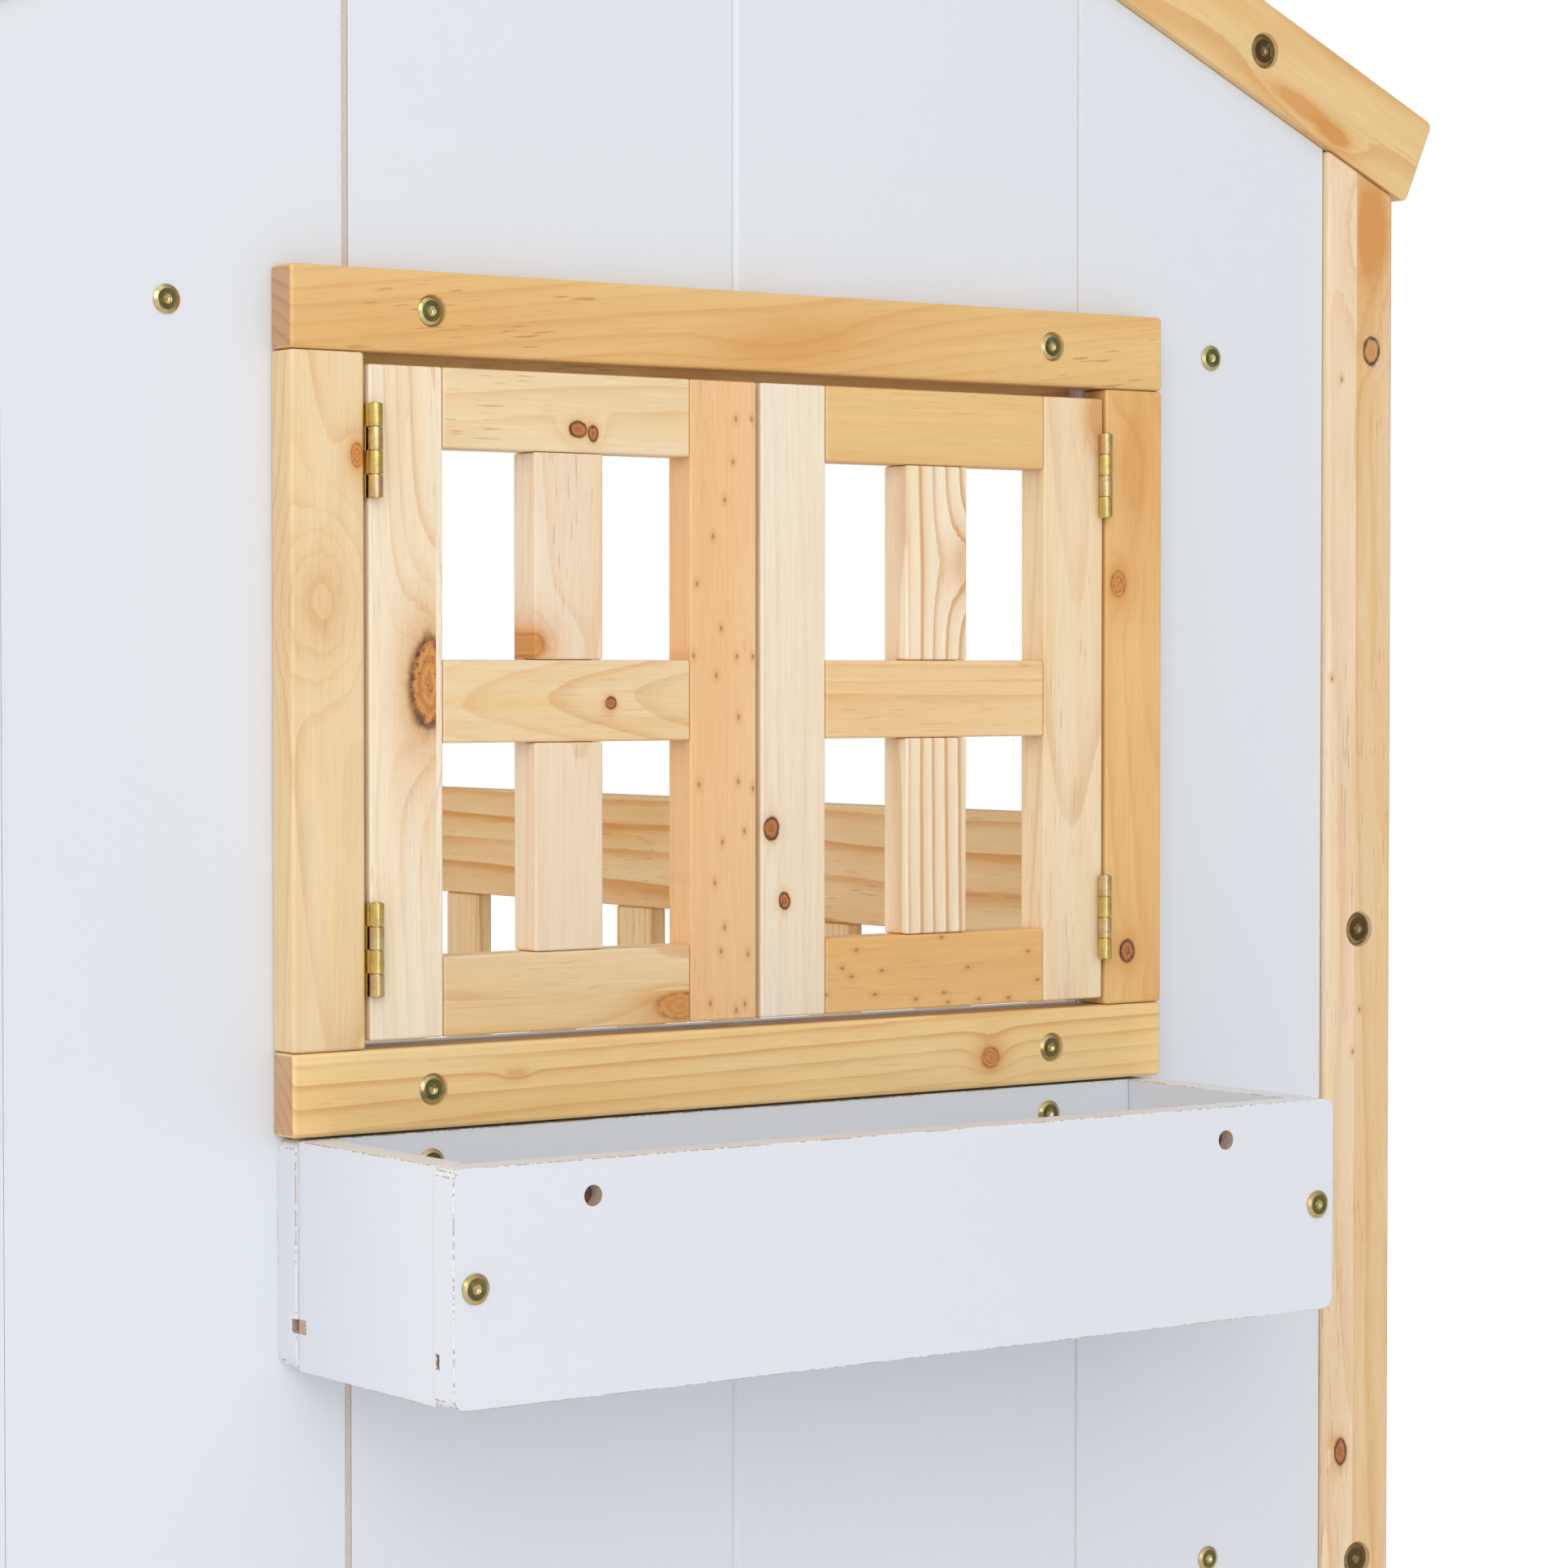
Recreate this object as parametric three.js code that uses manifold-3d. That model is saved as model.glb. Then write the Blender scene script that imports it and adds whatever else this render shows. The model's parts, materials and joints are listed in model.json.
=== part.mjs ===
// Free-standing timber playhouse: a white gable wall with a shuttered window and a planter box,
// pine posts, rafters and rails behind it. Millimetres, +Z up, the window wall faces -Y.
import * as THREE from "three";
import { mergeVertices } from "three/addons/utils/BufferGeometryUtils.js";
import Module from "manifold-3d";

const wasm = await Module();
wasm.setup();

// ---- Driving dimensions ----
const HOUSE_WIDTH = 1060; // over the outer faces of the posts
const HOUSE_DEPTH = 1248; // over the outer faces of the posts
const POST = 57; // square posts
const FIT = 0.3; // clearance at cut joints
const SEAM = 0.2; // clearance between glued pieces

const FLOOR_TO_SILL = 600; // underside of the window frame above the ground
const WALL_THICK = 12;
const WALL_CLEAR_OF_GROUND = 40;
const POST_PROUD = 5; // posts stand this far in front of the wall
const BOARD_WIDTHS = { strip: 26.2, left: 200.6, middle: 510.3, right: 201.2 };
const BOARD_GAPS = { strip: 0.9, left: 0.1, middle: 4.2, right: 1.8 }; // gap on each board's left
const TONGUE = { from: 0.9, to: 7.5, short: 0.2 }; // a tongue closes each open gap, behind the face
const GROOVE_WIDTH = 5;
const GROOVE_DEPTH = 2.5;
const WALL_OPENING = { low: 1, high: 4 }; // wall's cut edges above the frame's inner edges

const ROOF_PITCH = THREE.MathUtils.degToRad(24.5);
const RAFTER_DEEP = 57;
const RAFTER_THICK = 32;
const RAFTER_PROUD = 6; // rafter face in front of the wall
const EAVE_HEIGHT = 1200; // top corner of the rafter's tail
const EAVE_OVERHANG = 33; // past the post
const TAIL_RADIUS = 5;
const PURLIN = { deep: 57, thick: 32, inFromTail: 146 };
const RIDGE = { wide: 40, high: 57 };

const BATTEN_THICK = 32;
// heights over the sill line; the upper batten reaches below the window frame as the shutters' stop
const BATTENS = { upper: [408, 464.5], sill: [-33, 42], lower: [-331, -286] };
const BATTEN_BOLTS = [436, 4.5, -302];

const FRAME = { wide: 608, high: 463, board: 45, thick: 22, centreX: 14.8 };
const FRAME_BOLT_IN = { x: 87, z: 21.5 };
const FRAME_BOLT_HOLE = { r: 8.9, deep: 3 };

const SHUTTER = { side: 2.5, meet: 3, low: 49.5, high: 411.7, stile: 46, muntin: 45 };
const SHUTTER_RAILS = { bottom: [49.5, 93.2], mid: [208.7, 253.8], top: [368, 411.7] };

const HINGE = { length: 50.5, barrelR: 4, pinR: 1.5, boreR: 1.58, leaf: 1, leafDeep: 19, knuckles: 4 };
const HINGE_AXIS_FORWARD = 4.5; // in front of the frame's face
const HINGE_AXIS_IN = 2.75; // from the middle of the gap towards the shutter
const HINGE_LOW_ENDS = { lower: 73.5, upper: 340 };

const PLANTER = { wide: 602, high: 122.5, deep: 177.5, board: 19, drop: 1.5, radius: 8, inset: 1.7 };
const PLANTER_FLOOR = { thick: 7, above: 20.4, groove: 5 };
const ACCESS_HOLE = { r: 5.5, in: 84, drop: 19 };

const RAIL = { high: 88, thick: 20 };
const UPPER_RAIL_LOW = 60; // over the sill line
const LOWER_RAIL_LOW = -368;
const BALUSTER = { wide: 50, thick: 14, count: 8, pitch: 128.7 };
const SIDE_RAIL_BOLTS = [82, -324]; // over the sill line
const REAR_RAIL_BOLTS = [126, -296];
const POST_BOLT_HOLE = { r: 11.4, deep: 4 };
const GUARD_SIDE = 1; // the right side has the guard, the left side is the way in

// ---- Derived places ----
const SILL = FLOOR_TO_SILL;
const TAN = Math.tan(ROOF_PITCH);
const COS = Math.cos(ROOF_PITCH);
const SIN = Math.sin(ROOF_PITCH);
const POST_OUT = HOUSE_WIDTH / 2;
const POST_IN = POST_OUT - POST;
const REAR = HOUSE_DEPTH - POST_PROUD; // outer face of the rear posts
const TAIL_X = POST_OUT + EAVE_OVERHANG;
const APEX = EAVE_HEIGHT + TAIL_X * TAN;
const BOTTOM_DROP = RAFTER_DEEP / COS; // rafter's top edge to its lower edge, plumb
const roofTop = (x) => APEX - Math.abs(x) * TAN;
const roofUnder = (x) => roofTop(x) - BOTTOM_DROP - FIT;
const FRAME_LEFT = FRAME.centreX - FRAME.wide / 2;
const FRAME_RIGHT = FRAME.centreX + FRAME.wide / 2;
const PIN_Y = -FRAME.thick - HINGE_AXIS_FORWARD;
const FRONT_MOST = -PLANTER.deep;
const BACK_MOST = REAR + RAFTER_PROUD - POST_PROUD;

// ---- Materials: one per mesh ----
const LOOKS = {
  pine: { color: 0xe2b878, roughness: 0.6, metalness: 0 },
  white_mdf: { color: 0xe3e6ec, roughness: 0.45, metalness: 0 },
  zinc: { color: 0xcdb45e, roughness: 0.3, metalness: 0.9 },
};

const house = new THREE.Group();

function put(name, look, geometry) {
  const mesh = new THREE.Mesh(geometry, new THREE.MeshStandardMaterial(LOOKS[look]));
  mesh.name = name;
  house.add(mesh);
  return mesh;
}

// ---- Solids ----
function box(x, y, z) {
  const g = new THREE.BoxGeometry(x[1] - x[0], y[1] - y[0], z[1] - z[0]);
  return g.translate((x[0] + x[1]) / 2, (y[0] + y[1]) / 2, (z[0] + z[1]) / 2);
}

function slab(shape, y) {
  // a front elevation (x, z) pushed back from y[0] to y[1]
  const g = new THREE.ExtrudeGeometry(shape, { depth: y[1] - y[0], bevelEnabled: false, curveSegments: 4 });
  return g.rotateX(Math.PI / 2).translate(0, y[1], 0);
}

function outline(points) {
  return new THREE.Shape(points.map(([x, z]) => new THREE.Vector2(x, z)));
}

function roundedOutline(points, radii) {
  const shape = new THREE.Shape();
  const n = points.length;
  for (let i = 0; i < n; i += 1) {
    const here = new THREE.Vector2(...points[i]);
    const before = new THREE.Vector2(...points[(i + n - 1) % n]).sub(here).setLength(radii[i]);
    const after = new THREE.Vector2(...points[(i + 1) % n]).sub(here).setLength(radii[i]);
    const enter = here.clone().add(before);
    const leave = here.clone().add(after);
    if (i === 0) shape.moveTo(enter.x, enter.y);
    else shape.lineTo(enter.x, enter.y);
    if (radii[i] > 0) shape.quadraticCurveTo(here.x, here.y, leave.x, leave.y);
  }
  shape.closePath();
  return shape;
}

function rod(r, y, x, z, sides = 24) {
  // a round bar along Y
  return new THREE.CylinderGeometry(r, r, y[1] - y[0], sides).translate(x, (y[0] + y[1]) / 2, z);
}

function post(r, x, y, z, sides = 24) {
  // a round bar along Z
  const g = new THREE.CylinderGeometry(r, r, z[1] - z[0], sides).rotateX(Math.PI / 2);
  return g.translate(x, y, (z[0] + z[1]) / 2);
}

function toManifold(geometry) {
  const bare = geometry.clone();
  bare.deleteAttribute("normal");
  bare.deleteAttribute("uv");
  const merged = mergeVertices(bare, 1e-4);
  const vertProperties = new Float32Array(merged.attributes.position.array);
  const triVerts = new Uint32Array(merged.index.array);
  return new wasm.Manifold(new wasm.Mesh({ numProp: 3, vertProperties, triVerts }));
}

function fromManifold(solid) {
  const mesh = solid.getMesh();
  const g = new THREE.BufferGeometry();
  g.setAttribute("position", new THREE.BufferAttribute(new Float32Array(mesh.vertProperties), 3));
  g.setIndex(new THREE.BufferAttribute(new Uint32Array(mesh.triVerts), 1));
  const flat = g.toNonIndexed();
  flat.computeVertexNormals();
  return flat;
}

function cut(body, ...cutters) {
  return fromManifold(cutters.reduce((s, c) => s.subtract(toManifold(c)), toManifold(body)));
}

function join(body, ...others) {
  return fromManifold(others.reduce((s, c) => s.add(toManifold(c)), toManifold(body)));
}

const HOLE_SIDES = 28;

function boltHole(x, z, face, hole, into = 1) {
  // a counterbore in a face that looks along Y; into is the direction that it is cut in
  const y = [face - into, face + into * hole.deep].sort((a, b) => a - b);
  return rod(hole.r, y, x, z, HOLE_SIDES);
}

function sideHole(side, y, z, hole) {
  // a counterbore in a post's outer side face
  const bar = new THREE.CylinderGeometry(hole.r, hole.r, hole.deep + 1, HOLE_SIDES).rotateZ(Math.PI / 2);
  return bar.translate(side * (POST_OUT - (hole.deep - 1) / 2), y, z);
}

// ---- Gable wall ----
const OPENING_LOW = SILL + FRAME.board + WALL_OPENING.low;
const OPENING_HIGH = SILL + FRAME.high - FRAME.board + WALL_OPENING.high;
const FOOT = WALL_CLEAR_OF_GROUND;
const WALL_Y = [0, WALL_THICK];

function boardSpans() {
  const spans = {};
  let x = -POST_IN;
  for (const key of Object.keys(BOARD_WIDTHS)) {
    const low = x + BOARD_GAPS[key];
    x = low + BOARD_WIDTHS[key];
    spans[key] = [low, x];
  }
  return spans;
}

function gableBoard([left, right], foot) {
  const points = [[left, foot], [right, foot], [right, roofUnder(right)], [left, roofUnder(left)]];
  if (left < 0 && right > 0) points.splice(3, 0, [0, roofUnder(0)]);
  return slab(outline(points), WALL_Y);
}

function tongue(left, right) {
  const outer = Math.max(Math.abs(left), Math.abs(right));
  return box([left, right], [TONGUE.from, TONGUE.to], [FOOT, roofUnder(outer)]);
}

function grooveCutter(x, z) {
  const half = GROOVE_WIDTH / 2 + 0.5;
  const shape = outline([[-half, -0.5], [half, -0.5], [0, GROOVE_DEPTH]]);
  const g = new THREE.ExtrudeGeometry(shape, { depth: z[1] - z[0], bevelEnabled: false });
  return g.translate(x, 0, z[0]);
}

function wall() {
  const spans = boardSpans();
  const mid = (spans.middle[0] + spans.middle[1]) / 2;
  put("wall_closing_strip", "white_mdf", gableBoard(spans.strip, FOOT));
  const tongueLeft = tongue(spans.left[1] - 1, spans.middle[0] - TONGUE.short);
  put("wall_board_left", "white_mdf", join(gableBoard(spans.left, FOOT), tongueLeft));
  const tongueRight = tongue(spans.middle[1] + TONGUE.short, spans.right[0] + 1);
  put("wall_board_right", "white_mdf", join(gableBoard(spans.right, FOOT), tongueRight));
  const upper = gableBoard(spans.middle, OPENING_HIGH);
  put("wall_board_over_window", "white_mdf", cut(upper, grooveCutter(mid, [OPENING_HIGH - 5, APEX])));
  const lower = box(spans.middle, WALL_Y, [FOOT, OPENING_LOW]);
  put("wall_board_under_window", "white_mdf", cut(lower, grooveCutter(mid, [FOOT - 5, OPENING_LOW + 5])));
}

function battens() {
  const x = [-POST_IN + FIT, POST_IN - FIT];
  const y = [WALL_THICK, WALL_THICK + BATTEN_THICK];
  for (const [key, [low, high]] of Object.entries(BATTENS)) {
    put(`batten_${key}`, "pine", box(x, y, [SILL + low, SILL + high]));
  }
}

// ---- Posts, rafters, purlins and ridge ----
function postSolid(side, y) {
  const inner = side * POST_IN;
  const outer = side * POST_OUT;
  const left = Math.min(inner, outer);
  const right = Math.max(inner, outer);
  const points = [[left, 0], [right, 0], [right, roofUnder(right)], [left, roofUnder(left)]];
  return slab(outline(points), y);
}

function posts() {
  for (const [sideName, side] of [["left", -1], ["right", 1]]) {
    const x = (side * (POST_IN + POST_OUT)) / 2;
    const battenY = WALL_THICK + BATTEN_THICK / 2;
    const front = BATTEN_BOLTS.map((z) => sideHole(side, battenY, SILL + z, POST_BOLT_HOLE));
    const rear = REAR_RAIL_BOLTS.map((z) => sideHole(side, REAR - POST / 2, SILL + z, POST_BOLT_HOLE));
    if (side === GUARD_SIDE) {
      for (const z of SIDE_RAIL_BOLTS) {
        front.push(boltHole(x, SILL + z, -POST_PROUD, POST_BOLT_HOLE));
        rear.push(boltHole(x, SILL + z, REAR, POST_BOLT_HOLE, -1));
      }
    }
    put(`post_front_${sideName}`, "pine", cut(postSolid(side, [-POST_PROUD, POST - POST_PROUD]), ...front));
    put(`post_rear_${sideName}`, "pine", cut(postSolid(side, [REAR - POST, REAR]), ...rear));
  }
}

function rafterShape(side) {
  const top = FIT / 2;
  const tail = [TAIL_X, EAVE_HEIGHT];
  const heel = [TAIL_X - RAFTER_DEEP * SIN, EAVE_HEIGHT - RAFTER_DEEP * COS];
  const right = [[top, roofTop(top)], [top, roofTop(top) - BOTTOM_DROP], heel, tail];
  const radii = [0, 0, TAIL_RADIUS, TAIL_RADIUS];
  const points = right.map(([x, z]) => [side * x, z]);
  return roundedOutline(side > 0 ? points : points.reverse(), side > 0 ? radii : radii.reverse());
}

const PURLIN_X = TAIL_X - PURLIN.inFromTail;
const PURLIN_Z = roofTop(PURLIN_X) - BOTTOM_DROP / 2;
const FRONT_RAFTER_Y = [-RAFTER_PROUD, RAFTER_THICK - RAFTER_PROUD];
const REAR_RAFTER_Y = [BACK_MOST - RAFTER_THICK, BACK_MOST];

function roof() {
  for (const [sideName, side] of [["left", -1], ["right", 1]]) {
    const hole = boltHole(side * PURLIN_X, PURLIN_Z, -RAFTER_PROUD, POST_BOLT_HOLE);
    const rearHole = boltHole(side * PURLIN_X, PURLIN_Z, BACK_MOST, POST_BOLT_HOLE, -1);
    put(`rafter_front_${sideName}`, "pine", cut(slab(rafterShape(side), FRONT_RAFTER_Y), hole));
    put(`rafter_rear_${sideName}`, "pine", cut(slab(rafterShape(side), REAR_RAFTER_Y), rearHole));
    const length = REAR_RAFTER_Y[0] - FRONT_RAFTER_Y[1] - 2 * FIT;
    const beam = new THREE.BoxGeometry(PURLIN.thick, length, PURLIN.deep);
    beam.rotateY(side * ROOF_PITCH);
    beam.translate(side * PURLIN_X, (REAR_RAFTER_Y[0] + FRONT_RAFTER_Y[1]) / 2, PURLIN_Z);
    put(`purlin_${sideName}`, "pine", beam);
  }
  const half = RIDGE.wide / 2;
  const high = roofTop(half);
  const y = [FRONT_RAFTER_Y[1] + FIT, REAR_RAFTER_Y[0] - FIT];
  put("ridge_beam", "pine", box([-half, half], y, [high - RIDGE.high, high]));
}

// ---- Window frame ----
function windowFrame() {
  const y = [-FRAME.thick, 0];
  const low = [SILL, SILL + FRAME.board];
  const high = [SILL + FRAME.high - FRAME.board, SILL + FRAME.high];
  for (const [name, z, boltZ] of [
    ["bottom", low, SILL + FRAME_BOLT_IN.z],
    ["top", high, SILL + FRAME.high - FRAME_BOLT_IN.z],
  ]) {
    const board = box([FRAME_LEFT, FRAME_RIGHT], y, z);
    const places = [FRAME_LEFT + FRAME_BOLT_IN.x, FRAME_RIGHT - FRAME_BOLT_IN.x];
    const holes = places.map((x) => boltHole(x, boltZ, -FRAME.thick, FRAME_BOLT_HOLE));
    put(`window_frame_${name}`, "pine", cut(board, ...holes));
  }
  const z = [low[1] + SEAM, high[0] - SEAM];
  put("window_frame_left", "pine", box([FRAME_LEFT, FRAME_LEFT + FRAME.board], y, z));
  put("window_frame_right", "pine", box([FRAME_RIGHT - FRAME.board, FRAME_RIGHT], y, z));
}

// ---- Shutters ----
const OPEN_LEFT = FRAME_LEFT + FRAME.board;
const OPEN_RIGHT = FRAME_RIGHT - FRAME.board;
const SHUTTER_WIDE = (OPEN_RIGHT - OPEN_LEFT - 2 * SHUTTER.side - SHUTTER.meet) / 2;

function shutter(name, hingeX, inward) {
  // inward is the direction from the hinge side to the meeting side
  const y = [-FRAME.thick, 0];
  const half = -FRAME.thick / 2;
  const at = (a, b) => [hingeX + inward * a, hingeX + inward * b].sort((p, q) => p - q);
  const full = [SILL + SHUTTER.low, SILL + SHUTTER.high];
  put(`${name}_hinge_stile`, "pine", box(at(0, SHUTTER.stile), y, full));
  put(`${name}_meeting_stile`, "pine", box(at(SHUTTER_WIDE - SHUTTER.stile, SHUTTER_WIDE), y, full));
  const railX = at(SHUTTER.stile + SEAM, SHUTTER_WIDE - SHUTTER.stile - SEAM);
  const railZ = (key) => SHUTTER_RAILS[key].map((z) => SILL + z);
  put(`${name}_bottom_rail`, "pine", box(railX, y, railZ("bottom")));
  put(`${name}_top_rail`, "pine", box(railX, y, railZ("top")));
  const muntinX = at((SHUTTER_WIDE - SHUTTER.muntin) / 2, (SHUTTER_WIDE + SHUTTER.muntin) / 2);
  const [midLow, midHigh] = railZ("mid");
  const housing = box([muntinX[0] - SEAM, muntinX[1] + SEAM], [half - SEAM, 1], [midLow - 5, midHigh + 5]);
  put(`${name}_mid_rail`, "pine", cut(box(railX, y, railZ("mid")), housing));
  const muntinZ = [railZ("bottom")[1] + SEAM, railZ("top")[0] - SEAM];
  const notchZ = [midLow - SEAM, midHigh + SEAM];
  const notch = box([muntinX[0] - 5, muntinX[1] + 5], [-FRAME.thick - 1, half], notchZ);
  put(`${name}_muntin`, "pine", cut(box(muntinX, y, muntinZ), notch));
}

// ---- Butt hinges ----
function hinge(name, gapX, toShutter, low, frameKnuckleFirst) {
  // gapX is the middle of the gap that both leaves stand in, toShutter the way from there to the shutter
  const axisX = gapX + toShutter * HINGE_AXIS_IN;
  const step = HINGE.length / HINGE.knuckles;
  const knuckleZ = (i) => [low + i * step + SEAM / 2, low + (i + 1) * step - SEAM / 2];
  const leafX = (way) => [gapX + way * SEAM, gapX + way * (SEAM + HINGE.leaf)].sort((p, q) => p - q);
  const leafY = [-FRAME.thick, -FRAME.thick + HINGE.leafDeep];
  const plate = (way) => box(leafX(way), leafY, [low, low + HINGE.length]);
  const tab = (way, z) => box(leafX(way), [PIN_Y, -FRAME.thick + 1], z);
  const frameLeaf = [];
  const shutterLeaf = [];
  for (let i = 0; i < HINGE.knuckles; i += 1) {
    const mine = (i % 2 === 0) === frameKnuckleFirst;
    const barrel = post(HINGE.barrelR, axisX, PIN_Y, knuckleZ(i), 24);
    if (mine) frameLeaf.push(barrel, tab(-toShutter, knuckleZ(i)));
    else shutterLeaf.push(barrel, tab(toShutter, knuckleZ(i)));
  }
  const pin = post(HINGE.pinR, axisX, PIN_Y, [low - 0.4, low + HINGE.length + 0.4], 16);
  put(`${name}_frame_leaf`, "zinc", join(plate(-toShutter), ...frameLeaf, pin));
  const bore = post(HINGE.boreR, axisX, PIN_Y, [low - 5, low + HINGE.length + 5], 16);
  put(`${name}_shutter_leaf`, "zinc", cut(join(plate(toShutter), ...shutterLeaf), bore));
}

function windowShutters() {
  shutter("left_shutter", OPEN_LEFT + SHUTTER.side, 1);
  shutter("right_shutter", OPEN_RIGHT - SHUTTER.side, -1);
  for (const [level, low] of Object.entries(HINGE_LOW_ENDS)) {
    hinge(`left_${level}_hinge`, OPEN_LEFT + SHUTTER.side / 2, 1, SILL + low, false);
    hinge(`right_${level}_hinge`, OPEN_RIGHT - SHUTTER.side / 2, -1, SILL + low, true);
  }
}

// ---- Planter box ----
function planter() {
  const left = FRAME.centreX - PLANTER.wide / 2;
  const right = FRAME.centreX + PLANTER.wide / 2;
  const high = SILL - PLANTER.drop;
  const low = high - PLANTER.high;
  const t = PLANTER.board;
  const r = PLANTER.radius;
  const outer = roundedOutline([[left, low], [right, low], [right, high], [left, high]], [r, r, r, r]);
  const slotZ = [low + PLANTER_FLOOR.above - 0.2, low + PLANTER_FLOOR.above + PLANTER_FLOOR.thick + 0.2];
  const slot = (x, y) => box(x, y, slotZ);
  const ends = [left - 5, right + 5];
  const frontY = [-PLANTER.deep, -PLANTER.deep + t];
  const holes = [left + ACCESS_HOLE.in, right - ACCESS_HOLE.in].map((x) =>
    rod(ACCESS_HOLE.r, [frontY[0] - 1, frontY[1] + 1], x, high - ACCESS_HOLE.drop, 20));
  const frontSlot = slot(ends, [frontY[1] - PLANTER_FLOOR.groove, frontY[1] + 1]);
  put("planter_front", "white_mdf", cut(slab(outer, frontY), frontSlot, ...holes));
  const backSlot = slot(ends, [-t - 1, -t + PLANTER_FLOOR.groove]);
  put("planter_back", "white_mdf", cut(slab(outer, [-t, 0]), backSlot));
  const sideY = [frontY[1] + SEAM, -t - SEAM];
  const sorted = (a, b) => [a, b].sort((p, q) => p - q);
  for (const [name, edge, way] of [["left", left, 1], ["right", right, -1]]) {
    const face = edge + way * PLANTER.inset;
    const inner = face + way * t;
    const side = box(sorted(face, inner), sideY, [low, high]);
    const slotX = sorted(inner - way * PLANTER_FLOOR.groove, inner + way);
    const sideSlot = slot(slotX, [sideY[0] - 1, sideY[1] + 1]);
    put(`planter_${name}`, "white_mdf", cut(side, sideSlot));
  }
  const reach = PLANTER_FLOOR.groove - FIT;
  const floorX = [left + PLANTER.inset + t - reach, right - PLANTER.inset - t + reach];
  const floorZ = [low + PLANTER_FLOOR.above, low + PLANTER_FLOOR.above + PLANTER_FLOOR.thick];
  put("planter_floor", "white_mdf", box(floorX, [frontY[1] - reach, -t + reach], floorZ));
}

// ---- Rails and balusters ----
function guards() {
  const across = (POST_IN + POST_OUT) / 2;
  const x = [across - RAIL.thick / 2, across + RAIL.thick / 2];
  const y = [POST - POST_PROUD + FIT, REAR - POST - FIT];
  const upper = [SILL + UPPER_RAIL_LOW, SILL + UPPER_RAIL_LOW + RAIL.high];
  const lower = [SILL + LOWER_RAIL_LOW, SILL + LOWER_RAIL_LOW + RAIL.high];
  put("side_rail_upper", "pine", box(x, y, upper));
  put("side_rail_lower", "pine", box(x, y, lower));
  const middle = (y[0] + y[1]) / 2;
  for (let i = 0; i < BALUSTER.count; i += 1) {
    const c = middle + (i - (BALUSTER.count - 1) / 2) * BALUSTER.pitch;
    const bx = [across - BALUSTER.thick / 2, across + BALUSTER.thick / 2];
    const by = [c - BALUSTER.wide / 2, c + BALUSTER.wide / 2];
    put(`side_baluster_${i + 1}`, "pine", box(bx, by, [lower[1] + SEAM, upper[0] - SEAM]));
  }
  const rearX = [-POST_IN + FIT, POST_IN - FIT];
  const rearY = [REAR - POST / 2 - RAIL.thick / 2, REAR - POST / 2 + RAIL.thick / 2];
  put("rear_rail_upper", "pine", box(rearX, rearY, upper));
  put("rear_rail_lower", "pine", box(rearX, rearY, lower));
}

wall();
battens();
posts();
roof();
windowFrame();
windowShutters();
planter();
guards();
house.position.y = -(FRONT_MOST + BACK_MOST) / 2;

export default house;
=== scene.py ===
import json
import math
import random

import bmesh
import bpy
from mathutils import Euler, Matrix, Vector

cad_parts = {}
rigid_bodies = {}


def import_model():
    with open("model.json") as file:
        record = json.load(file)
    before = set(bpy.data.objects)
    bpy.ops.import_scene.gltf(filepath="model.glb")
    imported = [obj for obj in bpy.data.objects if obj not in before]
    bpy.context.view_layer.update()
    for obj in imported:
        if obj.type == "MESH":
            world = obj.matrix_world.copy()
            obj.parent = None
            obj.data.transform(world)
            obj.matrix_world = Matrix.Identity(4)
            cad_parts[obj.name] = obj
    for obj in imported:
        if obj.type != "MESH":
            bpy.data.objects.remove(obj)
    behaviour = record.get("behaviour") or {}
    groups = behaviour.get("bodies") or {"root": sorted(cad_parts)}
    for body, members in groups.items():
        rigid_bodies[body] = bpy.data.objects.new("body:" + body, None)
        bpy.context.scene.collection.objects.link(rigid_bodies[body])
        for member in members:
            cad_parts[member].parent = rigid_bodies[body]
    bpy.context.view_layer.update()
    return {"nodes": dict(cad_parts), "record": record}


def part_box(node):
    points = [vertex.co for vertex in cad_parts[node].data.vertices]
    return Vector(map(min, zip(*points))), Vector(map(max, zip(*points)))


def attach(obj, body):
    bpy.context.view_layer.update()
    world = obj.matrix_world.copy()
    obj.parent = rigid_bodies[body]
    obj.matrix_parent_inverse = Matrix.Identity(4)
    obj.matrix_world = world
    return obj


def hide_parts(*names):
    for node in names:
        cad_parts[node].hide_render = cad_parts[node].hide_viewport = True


for leftover in list(bpy.data.objects):
    bpy.data.objects.remove(leftover)

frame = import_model()

MM = 0.001
NODES = frame["nodes"]
BODY_OF = {n: body for body, members in frame["record"]["behaviour"]["bodies"].items() for n in members}

# The corner that most places are given from: the window frame's lower left corner, on the wall's
# front face. Places are in millimetres, x to the right, y into the house, z up.
_low, _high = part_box("window_frame_bottom")
CORNER = Vector((_low.x, _high.y, _low.z))


def place(x, y, z):
    """A place from the corner, in millimetres, as one in the frame."""
    return CORNER + Vector((x, y, z)) * MM


def local(point):
    """The reverse: a point of the frame in millimetres from the corner."""
    return (Vector(point) - CORNER) / MM


def srgb(red, green, blue):
    """A colour as the eye reads it, 0 to 255, turned into the linear one that shaders use."""
    def linear(c):
        c /= 255
        return c / 12.92 if c <= 0.04045 else ((c + 0.055) / 1.055) ** 2.4
    return (linear(red), linear(green), linear(blue), 1.0)


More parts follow.
